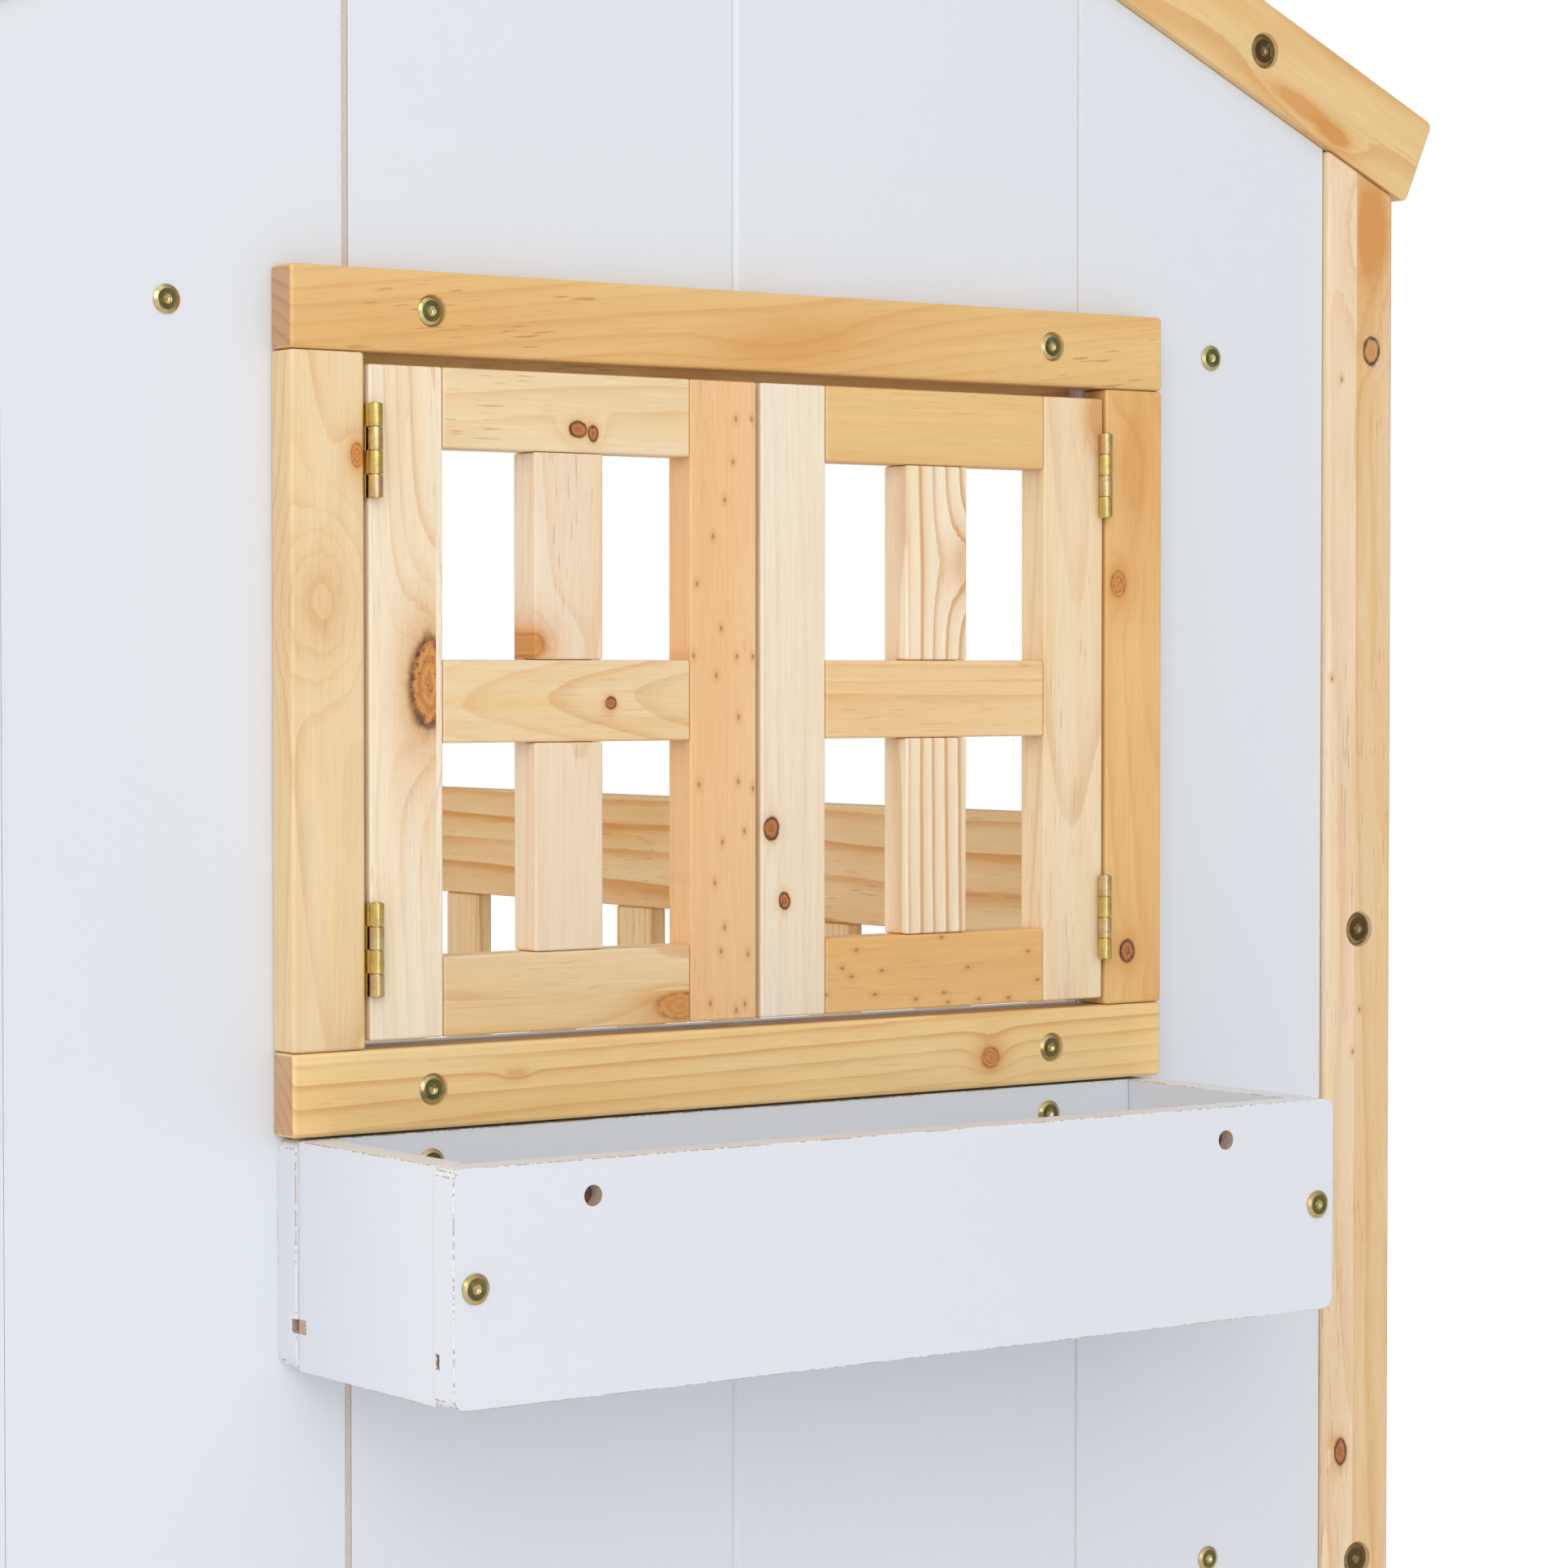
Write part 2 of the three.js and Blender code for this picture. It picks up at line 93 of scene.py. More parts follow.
# ---------------------------------------------------------------- shader building
class Graph:
    """Shorthand for making the nodes of one material."""

    def __init__(self, name):
        self.material = bpy.data.materials.new(name)
        self.material.use_nodes = True
        self.tree = self.material.node_tree
        self.shader = self.tree.nodes["Principled BSDF"]

    def node(self, kind, inputs=None, **settings):
        made = self.tree.nodes.new(kind)
        for key, value in settings.items():
            setattr(made, key, value)
        for key, value in (inputs or {}).items():
            self.feed(made.inputs[key], value)
        return made

    def feed(self, socket, value):
        if isinstance(value, bpy.types.NodeSocket):
            self.tree.links.new(value, socket)
        else:
            socket.default_value = value

    def math(self, operation, *values, clamp=False):
        made = self.node("ShaderNodeMath", operation=operation, use_clamp=clamp)
        for socket, value in zip(made.inputs, values):
            self.feed(socket, value)
        return made.outputs[0]

    def add(self, a, b):
        return self.math("ADD", a, b)

    def sub(self, a, b):
        return self.math("SUBTRACT", a, b)

    def mul(self, a, b):
        return self.math("MULTIPLY", a, b)

    def clamp(self, a):
        return self.math("ADD", a, 0.0, clamp=True)

    def vector(self, operation, a, b):
        made = self.node("ShaderNodeVectorMath", operation=operation)
        self.feed(made.inputs[0], a)
        self.feed(made.inputs[1], b)
        return made.outputs["Vector"]

    def split(self, vector):
        return self.node("ShaderNodeSeparateXYZ", {0: vector}).outputs

    def join(self, x, y, z):
        return self.node("ShaderNodeCombineXYZ", {0: x, 1: y, 2: z}).outputs[0]

    def length(self, *parts):
        total = self.mul(parts[0], parts[0])
        for part in parts[1:]:
            total = self.math("MULTIPLY_ADD", part, part, total)
        return self.math("SQRT", total)

    def step(self, value, low, high):
        """0 below low, 1 above high, smooth between. Swapped limits give the reverse."""
        made = self.node("ShaderNodeMapRange", interpolation_type="SMOOTHSTEP")
        if low <= high:
            ends = (low, high, 0.0, 1.0)
        else:
            ends = (high, low, 1.0, 0.0)
        for index, number in enumerate(ends, start=1):
            made.inputs[index].default_value = number
        self.feed(made.inputs[0], value)
        return made.outputs[0]

    def noise(self, vector, scale=1.0, detail=2.0, rough=0.5, seed=0.0):
        made = self.node(
            "ShaderNodeTexNoise",
            {"Vector": vector, "W": seed, "Scale": scale, "Detail": detail, "Roughness": rough},
            noise_dimensions="4D",
        )
        return made.outputs["Fac"], made.outputs["Color"]

    def mix(self, amount, a, b, blend="MIX"):
        made = self.node("ShaderNodeMix", data_type="RGBA", blend_type=blend, clamp_factor=True)
        self.feed(made.inputs[0], amount)
        self.feed(made.inputs[6], a)
        self.feed(made.inputs[7], b)
        return made.outputs[2]

    def stretch(self, parts, along, across):
        """The grain's own coordinates, scaled less along it than across it."""
        u, v, w = parts
        return self.join(self.mul(u, along), self.mul(v, across), self.mul(w, across))

    def bump(self, height, strength, distance):
        sockets = {"Height": height, "Strength": strength, "Distance": distance}
        made = self.node("ShaderNodeBump", sockets)
        self.feed(self.shader.inputs["Normal"], made.outputs[0])

    def finish(self, colour, roughness, **constants):
        """Feeds the shader. A constant is named after its socket, with underscores for spaces."""
        self.feed(self.shader.inputs["Base Color"], colour)
        self.feed(self.shader.inputs["Roughness"], roughness)
        for key, value in constants.items():
            self.shader.inputs[key.replace("_", " ")].default_value = value
        return self.material


# ---------------------------------------------------------------- pine
CREAM = srgb(243, 222, 186)
PALE = srgb(238, 210, 164)
HONEY = srgb(233, 194, 130)
AMBER = srgb(224, 174, 104)
LATE = srgb(212, 146, 72)
LATE_SOFT = srgb(224, 170, 106)
ORANGE = srgb(206, 132, 58)
FLAME = srgb(214, 146, 70)
RUST = srgb(160, 84, 34)
BARK = srgb(70, 38, 20)
END_GRAIN = srgb(196, 148, 112)
DASH = srgb(168, 104, 54)

# A board's look, in millimetres where it is a length. Colours: pale, honey (early wood), late; tone
# moves between the first two. Rings: pith (the log's middle, across and into the board), taper,
# spacing, strength, wander and ripple. Marks: dash (resin streaks), slant of the grain, pins (share of
# cells with a pin knot), knots, strips (edge, jump in the figure, shift in tone), and tilt (radians).
PINE = {
    "pale": PALE, "honey": HONEY, "late": LATE, "tone": 0.5,
    "pith": (0.0, 70.0), "taper": 0.02, "spacing": 4.0, "strength": 0.55, "wander": 9.0,
    "ripple": 1.6, "dash": 0.35, "slant": 0.0, "pins": 0.0, "knots": (), "strips": (), "tilt": 0.0,
}
AXES = {"X": "XZY", "Y": "YZX", "Z": "ZXY"}  # along the grain, across it, into the board


def turned(g, vector, tilt):
    """A vector turned about Y into a sloping board's own directions."""
    if not tilt:
        return vector
    inputs = {"Vector": vector, "Angle": tilt}
    return g.node("ShaderNodeVectorRotate", inputs, rotation_type="Y_AXIS").outputs[0]


def grain_parts(g, centre, grain, tilt, slant):
    """Coordinates in metres along the grain, across it and into the board, from the board's middle."""
    spot = g.node("ShaderNodeTexCoord").outputs["Object"]
    spot = turned(g, g.vector("SUBTRACT", spot, centre), tilt)
    parts = g.split(spot)
    u, v, w = (parts["XYZ".index(axis)] for axis in AXES[grain])
    if slant:
        v = g.math("MULTIPLY_ADD", u, slant, v)
    return u, v, w


def knot_nodes(g, u, v, knot, ripple, grit):
    """Where one knot lies: how many of its own radii away, and how far it bends the rings."""
    du = g.mul(g.sub(u, knot["u"] * MM), 1 / (knot["long"] * MM))
    dv = g.mul(g.sub(v, knot["v"] * MM), 1 / (knot["wide"] * MM))
    reach = g.math("MULTIPLY_ADD", ripple, 0.5, g.length(du, dv))
    reach = g.math("MULTIPLY_ADD", grit, 0.55, reach)
    bend = g.math("EXPONENT", g.mul(g.mul(reach, reach), -0.22))
    return reach, g.mul(bend, knot.get("bend", 1.1) * knot["wide"] * MM)


FAR_AWAY = 9.0  # in a knot's own radii


def other_strips(g, knot, glue_lines):
    """A board glued up from strips shows a knot only in the strip that has it: far away elsewhere."""
    away = 0.0
    for edge, past in glue_lines:
        wrong = past if knot["v"] < edge else g.sub(1.0, past)
        away = g.math("MULTIPLY_ADD", wrong, FAR_AWAY, away)
    return away


def knot_colour(g, colour, reach, knot, grit, crack):
    """Paints one knot: an orange halo, then the heart with its own rings and cracks, then a dark rim
    that comes and goes."""
    outside = g.math("MAXIMUM", g.sub(reach, 0.85), 0.0)
    halo = g.math("EXPONENT", g.mul(outside, -knot.get("fade", 2.2)))
    colour = g.mix(g.mul(halo, knot.get("halo", 0.55)), colour, FLAME)
    core = knot.get("core", 1.0)
    if core > 0:
        turns = g.math("MULTIPLY_ADD", grit, 2.5, g.mul(reach, knot.get("rings", 16.0)))
        rings = g.math("SINE", turns)
        inner = g.mix(g.math("MULTIPLY_ADD", rings, 0.35, 0.3), knot.get("fill", ORANGE), RUST)
        inner = g.mix(g.mul(crack, knot.get("crack", 0.7)), inner, BARK)
        colour = g.mix(g.mul(g.step(reach, 1.0, 0.88), core), colour, inner)
        off = g.mul(g.sub(reach, 0.95), 7.0)
        rim = g.math("EXPONENT", g.mul(g.mul(off, off), -1.0))
        patchy = g.math("MULTIPLY_ADD", grit, 2.6, knot.get("rim", 0.75), clamp=True)
        colour = g.mix(g.mul(rim, patchy), colour, BARK)
    return colour


STRIP_DEPTH = 0.11  # how far a strip's jump also goes into the log


def pine(name, centre, grain, look):
    """A lacquered pine board. Rings are cylinders round a pith line that wanders along the board, so
    a face shows straight lines, cathedrals or loops as its place in the log has it."""
    s = {**PINE, **look}
    seed = s["seed"]
    g = Graph(name)
    u, v, w = grain_parts(g, centre, grain, s["tilt"], s["slant"])
    tone = s["tone"]
    knot_u = u
    glue_lines = []
    for edge, jump, shift in s["strips"]:
        past = g.math("GREATER_THAN", v, edge * MM)
        glue_lines.append((edge, past))
        u = g.math("MULTIPLY_ADD", past, jump, u)
        w = g.math("MULTIPLY_ADD", past, jump * STRIP_DEPTH, w)
        tone = g.math("MULTIPLY_ADD", past, shift, tone)
    grain_at = (u, v, w)
    wander = g.split(g.noise(g.stretch(grain_at, 1.6, 9.0), 1.0, 2.0, 0.5, seed)[1])
    ripple = g.sub(g.noise(g.stretch(grain_at, 11.0, 60.0), 1.0, 2.0, 0.55, seed + 3)[0], 0.5)
    pith_across, pith_into = (distance * MM for distance in s["pith"])
    swing = s["wander"] * MM
    side = g.math("MULTIPLY_ADD", g.sub(wander[0], 0.5), swing * 2, g.sub(v, pith_across))
    into = g.math("MULTIPLY_ADD", g.sub(wander[1], 0.5), swing * 3, g.sub(w, pith_into))
    into = g.math("MULTIPLY_ADD", u, s["taper"], into)
    radius = g.length(side, into)
    radius = g.math("MULTIPLY_ADD", ripple, s["ripple"] * MM, radius)
    reaches = []
    if s["knots"]:
        grit = g.sub(g.noise(g.join(knot_u, v, 0.0), 170.0, 3.0, 0.6, seed + 23)[0], 0.5)
        crack = g.step(g.noise(g.join(knot_u, v, 0.0), 420.0, 2.0, 0.6, seed + 29)[0], 0.56, 0.66)
    for knot in s["knots"]:
        reach, bend = knot_nodes(g, knot_u, v, knot, ripple, grit)
        reach = g.add(reach, other_strips(g, knot, glue_lines))
        reaches.append(reach)
        radius = g.add(radius, bend)
    turns = g.mul(radius, 1 / (s["spacing"] * MM))
    turns = g.math("MULTIPLY_ADD", g.sub(wander[2], 0.5), 1.2, turns)
    phase = g.math("FRACT", turns)
    year = g.math("FLOOR", turns)
    chance = g.node("ShaderNodeTexWhiteNoise", {"W": g.add(year, seed)}, noise_dimensions="1D")
    vigour = chance.outputs[0]
    line = g.mul(g.step(phase, 0.62, 0.95), g.step(phase, 1.0, 0.975))
    late = g.math("MULTIPLY_ADD", g.mul(g.step(phase, 0.1, 0.95), g.step(phase, 1.0, 0.96)), 0.4, line)
    late = g.mul(late, g.math("MULTIPLY_ADD", vigour, 0.9, 0.25))
    cloud = g.noise(g.stretch(grain_at, 3.5, 26.0), 1.0, 3.0, 0.6, seed + 7)[0]
    late = g.clamp(g.mul(late, g.step(cloud, 0.12, 0.66)))
    fibre = g.noise(g.stretch(grain_at, 26.0, 620.0), 1.0, 3.0, 0.7, seed + 11)[0]
    streak = g.noise(g.stretch(grain_at, 4.0, 150.0), 1.0, 3.0, 0.6, seed + 13)[0]
    dashes = g.noise(g.stretch(grain_at, 48.0, 720.0), 1.0, 0.0, 0.5, seed + 17)[0]
    patch = g.noise(g.stretch(grain_at, 6.0, 20.0), 1.0, 1.0, 0.5, seed + 19)[0]
    dashes = g.mul(g.step(dashes, 0.68, 0.76), g.step(patch, 0.38, 0.62))

    level = g.math("MULTIPLY_ADD", g.sub(cloud, 0.5), 2.2, tone)
    level = g.clamp(g.math("MULTIPLY_ADD", g.sub(streak, 0.5), 0.9, level))
    colour = g.mix(level, s["pale"], s["honey"])
    colour = g.mix(g.mul(late, s["strength"]), colour, s["late"])
    shade = g.math("MULTIPLY_ADD", g.sub(fibre, 0.5), 0.26, 1.0)
    shade = g.math("MULTIPLY_ADD", g.sub(streak, 0.5), 0.14, shade)
    colour = g.mix(1.0, colour, g.join(shade, shade, shade), "MULTIPLY")
    colour = g.mix(g.mul(dashes, s["dash"]), colour, DASH)
    if s["pins"]:
        colour = pin_knots(g, colour, u, v, seed, s["pins"])
    for knot, reach in zip(s["knots"], reaches):
        colour = knot_colour(g, colour, reach, knot, grit, crack)
    colour = end_grain(g, colour, grain, s["tilt"], late)
    rough = g.math("MULTIPLY_ADD", late, -0.08, 0.46)
    rough = g.math("MULTIPLY_ADD", g.sub(cloud, 0.5), 0.16, rough)
    height = g.math("MULTIPLY_ADD", late, 0.5, fibre)
    height = g.math("MULTIPLY_ADD", dashes, -0.8, height)
    g.bump(height, 0.22, 0.00025)
    return g.finish(colour, rough, Coat_Weight=0.18, Coat_Roughness=0.32, Specular_IOR_Level=0.45)


def end_grain(g, colour, grain, tilt, late):
    """Sawn ends drink the lacquer: they are darker and pinker, with the rings as short arcs."""
    normal = turned(g, g.node("ShaderNodeTexCoord").outputs["Normal"], tilt)
    along = g.math("ABSOLUTE", g.split(normal)["XYZ".index(grain)])
    sawn = g.mix(g.mul(late, 0.6), END_GRAIN, srgb(164, 112, 76))
    return g.mix(g.mul(g.step(along, 0.80, 0.97), 0.8), colour, sawn)


def pin_knots(g, colour, u, v, seed, amount):
    """Scattered pin knots: small dark dots in short orange flames."""
    spot = g.join(g.math("MULTIPLY_ADD", u, 42.0, seed * 7.3), g.mul(v, 70.0), 0.0)
    inputs = {"Vector": spot, "Scale": 1.0, "Randomness": 1.0}
    cells = g.node("ShaderNodeTexVoronoi", inputs, voronoi_dimensions="2D")
    chosen = g.math("LESS_THAN", g.split(cells.outputs["Color"])[0], amount)
    near = cells.outputs["Distance"]
    flame = g.mul(g.step(near, 0.30, 0.05), chosen)
    dot = g.mul(g.step(near, 0.085, 0.045), chosen)
    colour = g.mix(g.mul(flame, 0.4), colour, srgb(214, 150, 84))
    return g.mix(g.mul(dot, 0.6), colour, srgb(158, 90, 44))


# ---------------------------------------------------------------- white board, bare fibreboard, zinc
WHITE = srgb(226, 230, 236)


def bare_fibre(g, spot, grey_and_painted_light=0.0):
    """Sawn fibreboard: brown and speckled. Its mix toward pale grey is partly a greyer fibre and
    partly painted light that lifts the shade in narrow gaps.
    """
    fine = g.noise(spot, 1500.0, 2.0, 0.7, 1.0)[0]
    coarse = g.noise(spot, 260.0, 2.0, 0.6, 2.0)[0]
    colour = g.mix(g.step(fine, 0.3, 0.7), srgb(158, 124, 102), srgb(226, 202, 182))
    colour = g.mix(g.mul(coarse, 0.5), colour, srgb(184, 152, 130))
    # Mixing toward pale grey: partly the fibre's greyer colour, partly painted light in shaded gaps between
    # boards.
    return g.mix(grey_and_painted_light, colour, srgb(228, 222, 216))


def white_board(name, bare=None, seed=0.0, grey_and_painted_light=0.0):
    """Smooth white coating with a very faint roller texture. bare(g, spot) gives a mask, 1 where the
    fibreboard was cut after coating."""
    g = Graph(name)
    spot = g.node("ShaderNodeTexCoord").outputs["Object"]
    cloud = g.noise(spot, 4.0, 2.0, 0.5, seed)[0]
    peel = g.noise(spot, 420.0, 2.0, 0.5, seed)[0]
    scuff = g.noise(spot, 38.0, 3.0, 0.6, seed + 5)[0]
    colour = g.mix(g.mul(cloud, 0.5), WHITE, srgb(219, 224, 231))
    rough = g.math("MULTIPLY_ADD", scuff, 0.16, 0.30)
    if bare:
        mask = bare(g, spot)
        # Where asked for, the bare fibre is made paler: partly its greyer colour, partly painted light in
        # shaded gaps.
        colour = g.mix(mask, colour, bare_fibre(g, spot, grey_and_painted_light))
        rough = g.clamp(g.math("MULTIPLY_ADD", mask, 0.4, rough))
    g.bump(peel, 0.08, 0.0002)
    return g.finish(colour, rough, Specular_IOR_Level=0.4)


def chipped_arris(name, amount, seed=0.0):
    """A sawn arris where the coating breaks off in small bits and the brown board shows."""
    g = Graph(name)
    spot = g.node("ShaderNodeTexCoord").outputs["Object"]
    chips = g.noise(spot, 330.0, 3.0, 0.7, seed)[0]
    runs = g.noise(spot, 26.0, 1.0, 0.5, seed + 1)[0]
    field = g.math("MULTIPLY_ADD", g.sub(runs, 0.5), 0.55, chips)
    mask = g.step(field, 0.56 - 0.2 * amount, 0.60 - 0.2 * amount)
    colour = g.mix(mask, srgb(232, 234, 238), bare_fibre(g, spot))
    g.bump(chips, 0.3, 0.0003)
    return g.finish(colour, g.math("MULTIPLY_ADD", mask, 0.35, 0.4))


def inside_box(low, high):
    """A mask that is 1 inside a box given by two corners in metres."""
    def mask(g, spot):
        total = 1.0
        for part, a, b in zip(g.split(spot), low, high):
            inside = g.mul(g.math("GREATER_THAN", part, a), g.math("LESS_THAN", part, b))
            total = g.mul(total, inside)
        return total
    return mask


NEAR_BORE = 1.02  # of a hole's radius


def inside_bores(bores):
    """A mask that is 1 on the walls of round holes along Y: each is (x, z, radius) in metres."""
    def mask(g, spot):
        x, _, z = g.split(spot)
        total = 0.0
        for bx, bz, radius in bores:
            away = g.length(g.sub(x, bx), g.sub(z, bz))
            total = g.math("MAXIMUM", total, g.math("LESS_THAN", away, radius * NEAR_BORE))
        return total
    return mask


def either(*masks):
    """A mask that is 1 where any of the others is."""
    def mask(g, spot):
        total = 0.0
        for one in masks:
            total = g.math("MAXIMUM", total, one(g, spot))
        return total
    return mask


def cut_sides(g, spot):
    """1 on the faces that look along X: the long sawn edges of the wall boards."""
    normal = g.node("ShaderNodeTexCoord").outputs["Normal"]
    across = g.math("ABSOLUTE", g.split(normal)[0])
    return g.step(across, 0.85, 0.95)


COATING = 0.6  # how deep the white goes in at a sawn edge


def between_faces(g, spot):
    """1 in the board's bare core: its sawn edges and its tongue, but neither coated face."""
    low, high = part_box("wall_board_left")
    depth = g.split(spot)[1]
    skin = COATING * MM
    behind_front = g.math("GREATER_THAN", depth, low.y + skin)
    before_back = g.math("LESS_THAN", depth, high.y - skin)
    return g.mul(behind_front, before_back)


def yellow_zinc(name, seed, base, drift_to, tint, rough=0.2):
    """Yellow passivated zinc: gold that drifts into pink and green, with fine drawing lines."""
    g = Graph(name)
    spot = g.node("ShaderNodeTexCoord").outputs["Object"]
    drift = g.noise(spot, 130.0, 2.0, 0.5, seed)[0]
    other = g.noise(spot, 210.0, 1.0, 0.5, seed + 4)[0]
    colour = g.mix(g.step(drift, 0.35, 0.65), base, drift_to)
    colour = g.mix(g.mul(g.step(other, 0.5, 0.72), 0.7), colour, tint)
    colour = g.mix(g.mul(g.step(other, 0.42, 0.3), 0.5), colour, srgb(150, 158, 120))
    brush = g.noise(spot, 900.0, 2.0, 0.6, seed + 2)[0]
    g.bump(brush, 0.05, 0.0001)
    spread = g.math("MULTIPLY_ADD", brush, 0.14, rough - 0.05)
    return g.finish(colour, spread, Metallic=1.0)


GOLD_LEAF = {"base": srgb(220, 192, 106), "drift_to": srgb(206, 180, 112), "tint": srgb(216, 206, 136)}
ROSE_LEAF = {"base": srgb(206, 172, 126), "drift_to": srgb(216, 196, 136), "tint": srgb(214, 168, 156)}
HEAD_RIM = {"base": srgb(206, 190, 140), "drift_to": srgb(196, 176, 112), "tint": srgb(214, 176, 150)}
HEAD_FLAT = {"base": srgb(128, 122, 70), "drift_to": srgb(104, 108, 74), "tint": srgb(138, 104, 72)}
DARK_RIM = {"base": srgb(158, 128, 84), "drift_to": srgb(128, 104, 72), "tint": srgb(178, 150, 96)}
DARK_FLAT = {"base": srgb(106, 82, 50), "drift_to": srgb(92, 84, 48), "tint": srgb(120, 82, 56)}


# ---------------------------------------------------------------- mesh work
def new_object(name, bm, materials, smooth=True):
    """A piece made from a bmesh, shaded smooth over its rounded arrises."""
    mesh = bpy.data.meshes.new(name)
    bm.to_mesh(mesh)
    bm.free()
    piece = bpy.data.objects.new(name, mesh)
    bpy.context.scene.collection.objects.link(piece)
    for material in materials:
        mesh.materials.append(material)
    if smooth:
        for face in mesh.polygons:
            face.use_smooth = True
        piece.modifiers.new("weighted normals", "WEIGHTED_NORMAL").keep_sharp = True
    return piece


NEAR_RIM = 1.06  # of a hole's radius


def on_rim(edge, holes):
    """Whether an edge belongs to a bolt hole. A hole is (plane, spot, radius), seen along the plane's
    missing axis."""
    middle = (edge.verts[0].co + edge.verts[1].co) / 2
    for plane, spot, radius in holes:
        away = middle - spot
        first, second = ("XYZ".index(axis) for axis in plane)
        if math.hypot(away[first], away[second]) < radius * NEAR_RIM:
            return True
    return False


WELD = 1e-5  # metres
FLAT_ANGLE = math.radians(0.6)
ARRIS_ANGLE = math.radians(22)


def eased_board(node, radius, materials, holes=(), steps=3, edge_slot=-1):
    """The CAD board with its arrises rounded over. Rims of bolt holes stay crisp."""
    bm = bmesh.new()
    bm.from_mesh(NODES[node].data)
    bmesh.ops.remove_doubles(bm, verts=bm.verts, dist=WELD)
    bmesh.ops.dissolve_limit(bm, angle_limit=FLAT_ANGLE, verts=bm.verts, edges=bm.edges)
    sharp = [e for e in bm.edges if len(e.link_faces) == 2 and e.calc_face_angle() > ARRIS_ANGLE]
    arrises = [e for e in sharp if not on_rim(e, holes)]
    bmesh.ops.bevel(
        bm, geom=arrises, offset=radius * MM, offset_type="OFFSET", segments=steps, profile=0.5,
        affect="EDGES", clamp_overlap=True, material=edge_slot,
    )
    piece = new_object(node + "_board", bm, materials)
    for face in piece.data.polygons:
        if face.material_index < 0:
            face.material_index = 0
    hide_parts(node)
    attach(piece, BODY_OF[node])


def centre_of(node):
    """The middle of a CAD node's box."""
    low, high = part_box(node)
    return (low + high) / 2


def knots_on(node, grain, knots, tilt):
    """Knots given by their place on the wall (x, z from the corner), in the board's own directions."""
    middle = local(centre_of(node))
    made = []
    for knot in knots:
        x, z = knot["at"]
        dx, dz = x - middle.x, z - middle.z
        if tilt:
            cos, sin = math.cos(tilt), math.sin(tilt)
            dx, dz = dx * cos + dz * sin, dz * cos - dx * sin
        u, v = (dx, dz) if grain == "X" else (dz, dx)
        made.append({**knot, "u": u, "v": v})
    return made


def pine_board(node, grain, radius=1.5, holes=(), **look):
    """A pine board in its own wood: its name gives the seed of its figure."""
    look.setdefault("seed", (sum(ord(c) * (i + 3) for i, c in enumerate(node)) % 997) / 13)
    look["knots"] = knots_on(node, grain, look.get("knots", ()), look.get("tilt", 0.0))
    material = pine("pine_" + node, centre_of(node), grain, look)
    eased_board(node, radius, [material], holes)


# ---------------------------------------------------------------- window frame and shutters
HOLES_X = (87.0, 521.0)  # of the window frame's bolts and, under them, the planter's
FRAME_HOLES_Z = {"bottom": 21.5, "top": 441.5}
FRAME_HOLE = 8.9


def frame_holes(z):
    """The two bolt holes of the window frame's top or bottom board."""
    return [("XZ", place(x, 0, z), FRAME_HOLE * MM) for x in HOLES_X]


# Kinds of knot. A knot's long and wide are its radii in millimetres along the grain and across it,
# and at is its place on the wall, x and z from the corner.
DARK_KNOT = {"halo": 0.75, "rim": 1.0, "core": 1.0, "fill": srgb(186, 120, 62), "rings": 9.0}
LIVE_KNOT = {
    "halo": 0.85, "rim": 0.15, "core": 0.75, "fill": srgb(218, 146, 68), "fade": 1.2, "crack": 0.45,
}
SWIRL = {"halo": 0.5, "core": 0.0, "bend": 1.8, "fade": 1.1}


def window_frame():
    pine_board(
        "window_frame_top", "X", radius=2.6, holes=frame_holes(FRAME_HOLES_Z["top"]),
        pale=HONEY, honey=AMBER, tone=0.35,
        slant=-0.10, strength=0.3, spacing=9.0, dash=0.5, pith=(-160, 60),
        knots=[{"at": (326, 432), "long": 34, "wide": 8, **SWIRL}],
    )
    pine_board(
        "window_frame_bottom", "X", radius=2.6, holes=frame_holes(FRAME_HOLES_Z["bottom"]),
        pale=srgb(252, 222, 164), honey=srgb(240, 198, 128), tone=0.5,
        strength=0.55, spacing=7.5, pith=(-70, 55), wander=6, dash=0.2,
        knots=[{"at": (473.7, 18), "long": 7, "wide": 6.5, **LIVE_KNOT},
               {"at": (140, 27), "long": 5, "wide": 2, **SWIRL}],
    )
    pine_board(
        "window_frame_left", "Z", radius=2.2, pale=srgb(240, 214, 172), honey=HONEY, tone=0.35,
        strength=0.38, spacing=8.0, pith=(6, 40), taper=0.06, wander=12, dash=0.25,
        knots=[{"at": (40, 362.8), "long": 7, "wide": 4, **LIVE_KNOT},
               {"at": (20, 285), "long": 22, "wide": 12, **SWIRL, "bend": 3.0, "halo": 0.25}],
    )
    pine_board(
        "window_frame_right", "Z", radius=2.2, pale=srgb(242, 198, 132), honey=AMBER, tone=0.4,
        strength=0.35, spacing=7.0, pith=(20, 45), taper=0.05, wander=12, dash=0.15,
        knots=[{"at": (572.7, 300.2), "long": 8, "wide": 6, **LIVE_KNOT, "fade": 0.7, "bend": 2.0},
               {"at": (586, 372), "long": 26, "wide": 9, **SWIRL},
               {"at": (580.1, 77.2), "long": 7, "wide": 6, **DARK_KNOT, "fade": 0.8}],
    )


